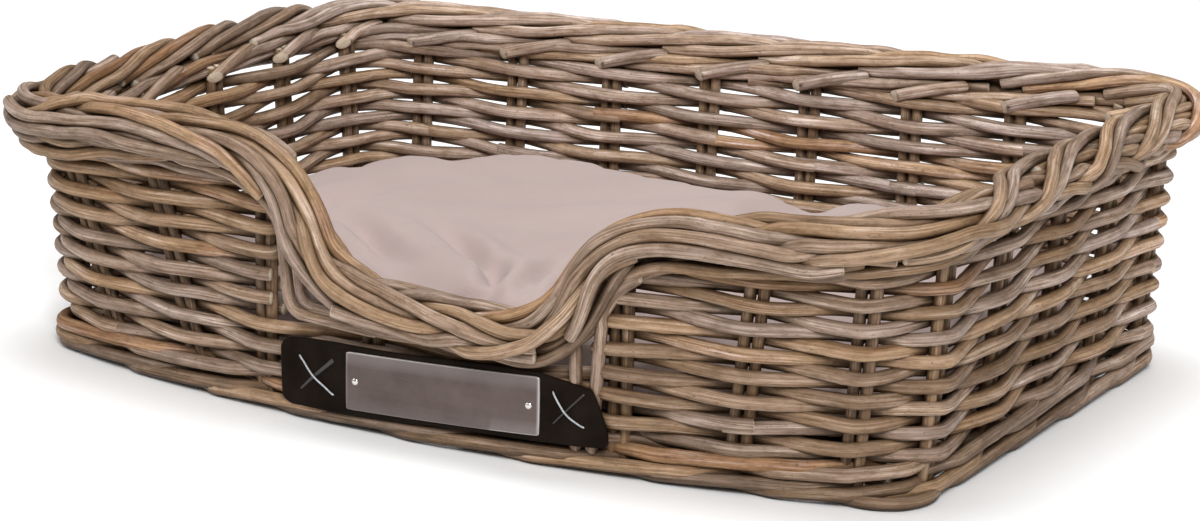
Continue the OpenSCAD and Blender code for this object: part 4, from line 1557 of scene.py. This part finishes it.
def simulate(piece, voxel):
    """Remeshes the cushion and inflates it as cloth."""
    bpy.context.view_layer.objects.active = piece
    remesh = piece.modifiers.new("remesh", "REMESH")
    remesh.mode = "VOXEL"
    remesh.voxel_size = voxel
    bpy.ops.object.modifier_apply(modifier="remesh")
    mesh = piece.data
    count = len(mesh.vertices)
    before = np.empty(count * 3)
    mesh.vertices.foreach_get("co", before)
    before = before.reshape(-1, 3)
    seam = piece.vertex_groups.new(name="bottom")
    low = [i for i in range(count) if before[i, 2] < (CUSHION_Z + 4) * MM]
    seam.add(low, 1.0, "ADD")
    cloth = piece.modifiers.new("cloth", "CLOTH")
    cloth.settings.quality = 5
    cloth.settings.mass = 0.3
    cloth.settings.tension_stiffness = 12
    cloth.settings.compression_stiffness = 12
    cloth.settings.shear_stiffness = 4
    cloth.settings.bending_stiffness = 0.2
    cloth.settings.use_pressure = True
    cloth.settings.uniform_pressure_force = 4.0
    cloth.settings.shrink_min = -0.045
    cloth.settings.vertex_group_mass = "bottom"
    cloth.settings.effector_weights.gravity = 0.0
    cloth.collision_settings.use_collision = False
    cloth.point_cache.frame_start = 1
    cloth.point_cache.frame_end = 20
    scene = bpy.context.scene
    for step in range(1, 21):
        scene.frame_set(step)
    shaped = piece.evaluated_get(bpy.context.evaluated_depsgraph_get()).data
    after = np.empty(count * 3)
    shaped.vertices.foreach_get("co", after)
    after = after.reshape(-1, 3).copy()
    piece.modifiers.remove(cloth)
    scene.frame_set(1)
    move = after - before
    size = np.linalg.norm(move, axis=1)
    cap = 0.020
    move *= (cap * np.tanh(size / cap) / np.maximum(size, 1e-9))[:, None]
    mesh.vertices.foreach_set("co", (before + move).ravel())
    mesh.update()


# Folds beside the entrance: place, direction in degrees, half length, half width and depth
FOLDS = [
    (-98, -108, -35, 75, 15, 15),
    (-34, -100, -37, 52, 11, 15),
    (0, -128, -62, 34, 9, 13),
    (24, -108, -75, 42, 9, 10),
    (54, -120, -95, 36, 9, 8),
    (-68, -150, -20, 50, 12, 8),
    (-150, -120, -70, 46, 16, 8),
    (-190, -40, 80, 60, 20, 7),
    (78, 118, 100, 70, 30, 10),
    (170, -70, -120, 70, 22, 9),
    (60, 20, 10, 120, 40, 4),
    (-60, 60, 35, 90, 30, 4),
]


def shape_cushion(points):
    """Folds by the entrance and soft hollows in the cushion's top."""
    z = points[:, 2]
    top = np.clip((z - 44) / 18, 0, 1)
    change = np.zeros(len(points))
    for x, y, heading, length, width, depth in FOLDS:
        turn = math.radians(heading)
        along = (points[:, 0] - x) * math.cos(turn) + (points[:, 1] - y) * math.sin(turn)
        across = -(points[:, 0] - x) * math.sin(turn) + (points[:, 1] - y) * math.cos(turn)
        across = across + 0.12 * width * np.sin(along / length * 3)
        reach = np.exp(-((along / length) ** 2) * 1.2)
        beside = (np.abs(across) - 1.3 * width) / width
        crease = np.exp(-((across / width) ** 2) * 2.2) - 0.55 * np.exp(-(beside**2) * 2)
        change -= depth * reach * crease
    broad = 1.6 * np.sin(points[:, 0] / 57 + 1) * np.sin(points[:, 1] / 43)
    change += broad + 1.0 * np.sin(points[:, 0] / 31 + points[:, 1] / 37)
    points[:, 2] += top * np.minimum(change, 5)
    return points


def confine(points):
    """Keeps the cushion inside its space."""
    lo, hi = (np.array(c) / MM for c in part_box("cushion_cover"))
    points[:, 2] = np.maximum(points[:, 2], lo[2] + 0.2)
    ceiling = hi[2] - 2
    over = points[:, 2] - ceiling
    points[:, 2] = np.where(over > 0, ceiling + 6 * np.tanh(over / 9), points[:, 2])
    for axis in (0, 1):
        low, high = lo[axis], hi[axis]
        under = low + 5 - points[:, axis]
        points[:, axis] = np.where(under > 0, low + 5 - 5 * np.tanh(under / 5), points[:, axis])
        over = points[:, axis] - (high - 5)
        points[:, axis] = np.where(over > 0, high - 5 + 4.8 * np.tanh(over / 4.8), points[:, axis])
    return points


def sewn_to_zip(points):
    """Fills out the cushion's back edge, which the zip's tape holds upright."""
    lo, hi = (np.array(c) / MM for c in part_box("zip_tape"))
    depth = 36
    middle = (lo[2] + hi[2]) / 2
    back = points[:, 1] - (lo[1] - depth)
    rise = points[:, 2] - middle
    share = np.clip((hi[0] + 26 - np.abs(points[:, 0])) / 22, 0, 1) * np.clip(back / 12, 0, 1)
    fuller = 1 + 0.3 * share * np.sin(2 * np.arctan2(rise, np.maximum(back, 0.01))) ** 2
    back = np.minimum(back * fuller, np.maximum(back, depth))
    rise = rise * fuller
    beside = share * np.clip((17 - np.abs(rise)) / 5, 0, 1) * np.clip((back - 8) / 14, 0, 1)
    back += beside * (depth - 0.3 - back)
    points[:, 1] = lo[1] - depth + back
    points[:, 2] = np.maximum(middle + rise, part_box("cushion_cover")[0][2] / MM + 0.2)
    return points


def build_cushion():
    cotton = cotton_material()
    vertices, faces = cushion_start()
    replaced = ["cushion_cover", "cushion_filling"]
    piece = mesh_piece("cushion", vertices, faces, cotton, "cushion", replaced)
    simulate(piece, 0.0055)
    count = len(piece.data.vertices)
    flat = np.empty(count * 3)
    piece.data.vertices.foreach_get("co", flat)
    points = flat.reshape(-1, 3) / MM
    points = sewn_to_zip(shape_cushion(confine(points)))
    piece.data.vertices.foreach_set("co", (points * MM).ravel())
    piece.data.polygons.foreach_set("use_smooth", [True] * len(piece.data.polygons))
    piece.data.update()
    smooth = piece.modifiers.new("subdivide", "SUBSURF")
    smooth.levels = 1
    smooth.render_levels = 1
    bpy.context.view_layer.objects.active = piece
    bpy.ops.object.modifier_apply(modifier="subdivide")


def tape_material(name, colour, scale):
    n = Nodes(name)
    place = n.node("ShaderNodeTexCoord").outputs["Object"]
    ribs = n.noise(n.stretch(place, (scale, scale, scale * 2.5)), 1.0, 2)
    low = tuple(0.8 * c for c in colour)
    n.set(Base_Color=n.ramp(ribs, [(0.3, low), (0.7, colour)]), Roughness=0.8)
    n.bump(ribs, 0.0002, 0.5)
    return n.material


# A box's faces, for corners listed with z running fastest and x slowest
BOX_FACES = [(0, 1, 3, 2), (4, 6, 7, 5), (0, 4, 5, 1), (2, 3, 7, 6), (0, 2, 6, 4), (1, 5, 7, 3)]


def build_zip_teeth():
    """The closed chain's teeth, one by one."""
    lo, hi = (np.array(c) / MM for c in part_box("zip_teeth"))
    pitch = 2.5
    parts = []
    count = int((hi[0] - lo[0]) / pitch)
    middle = (lo[2] + hi[2]) / 2
    for i in range(count):
        x = lo[0] + (i + 0.5) * pitch
        lean = 0.5 if i % 2 else -0.5
        box = np.array([(dx, dy, dz) for dx in (-0.85, 0.85) for dy in (lo[1], hi[1]) for dz in (-2.3, 2.3)])
        corners = np.column_stack([x + box[:, 0], box[:, 1], middle + lean * 0.4 + box[:, 2]])
        parts.append((corners, BOX_FACES))
    vertices, faces = joined(parts)
    replaced = ["zip_teeth"]
    mesh_piece("zip_chain", vertices, faces, zip_plastic, "cushion", replaced, smooth=False)


zip_plastic = tape_material("zip_plastic", (0.36, 0.29, 0.26), 500)


def build_tag():
    build_leather()
    build_stitches()
    build_plate()


def build_zip_tape():
    """The tape, of which the sewn-in edges do not show."""
    lo, hi = (np.array(c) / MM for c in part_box("zip_tape"))
    seen = 7.5
    shown = 222
    middle = (lo[2] + hi[2]) / 2
    corners = [(x, y, middle + up) for x in (-shown, shown) for y in (lo[1], hi[1]) for up in (-seen, seen)]
    fabric = tape_material("zip_fabric", (0.42, 0.33, 0.31), 1500)
    mesh_piece("zip_band", corners, BOX_FACES, fabric, "cushion", ["zip_tape"], smooth=False)


def build_zip():
    build_zip_tape()
    dress("zip_slider", steel_material("slider_steel", (0.60, 0.58, 0.55), 0.35))
    build_zip_teeth()


build_walls()
build_stakes()
build_border()
build_cut_ends()
build_entrance_rods()
build_base()
build_tag()
build_cushion()
build_zip()


# ---- Stage, light and camera ----


def plain(name, colour, roughness):
    n = Nodes(name)
    n.set(Base_Color=(*colour, 1), Roughness=roughness)
    return n.material


def build_stage():
    bpy.ops.mesh.primitive_plane_add(size=12, location=(0, 0, 0))
    floor = bpy.context.object
    floor.name = "studio_floor"
    floor.data.materials.append(plain("studio_floor", (0.93, 0.93, 0.93), 0.8))
    world = bpy.data.worlds.new("studio")
    bpy.context.scene.world = world
    world.use_nodes = True
    world.node_tree.nodes["Background"].inputs["Color"].default_value = (1, 1, 1, 1)
    world.node_tree.nodes["Background"].inputs["Strength"].default_value = 0.30
    bpy.context.scene.view_settings.view_transform = "Standard"


def area_light(name, place, size, power, target=(0, 0, 0.08)):
    light = bpy.data.lights.new(name, "AREA")
    light.shape = "RECTANGLE"
    light.size = size[0]
    light.size_y = size[1]
    light.energy = power
    lamp = bpy.data.objects.new(name, light)
    bpy.context.collection.objects.link(lamp)
    lamp.location = place
    lamp.rotation_euler = (Vector(target) - Vector(place)).to_track_quat("-Z", "Y").to_euler()


FOCAL = 107.588
AZIMUTH = 30.2905
ELEVATION = 14.7564
ROLL = 1.0434
DISTANCE = 2341.5
TARGET_RIGHT = -3.6
TARGET_UP = 58.5
FRAME_LIFT = 4.0
SHIFT_UP = -0.0051


def build_camera():
    az, el, roll = (math.radians(a) for a in (AZIMUTH, ELEVATION, ROLL))
    back = Vector((math.sin(az) * math.cos(el), -math.cos(az) * math.cos(el), math.sin(el)))
    right = Vector((math.cos(az), math.sin(az), 0))
    up = back.cross(right)
    x_axis = right * math.cos(roll) + up * math.sin(roll)
    y_axis = up * math.cos(roll) - right * math.sin(roll)
    place = x_axis * TARGET_RIGHT + y_axis * TARGET_UP + back * DISTANCE
    place += Vector((0, CENTRE_Y, FRAME_LIFT))
    data = bpy.data.cameras.new("camera")
    data.lens = FOCAL
    data.sensor_width = 36
    data.shift_y = SHIFT_UP
    camera = bpy.data.objects.new("camera", data)
    bpy.context.collection.objects.link(camera)
    turn = Matrix((x_axis, y_axis, back)).transposed().to_4x4()
    camera.matrix_world = Matrix.Translation(place * MM) @ turn
    bpy.context.scene.camera = camera


build_stage()
area_light("key", (3.0, -4.2, 3.9), (2.2, 2.2), 330)
area_light("fill", (-4.4, -2.6, 3.0), (3.0, 3.0), 70)
area_light("top", (-0.3, 0.6, 5.4), (3.0, 3.0), 190)
build_camera()
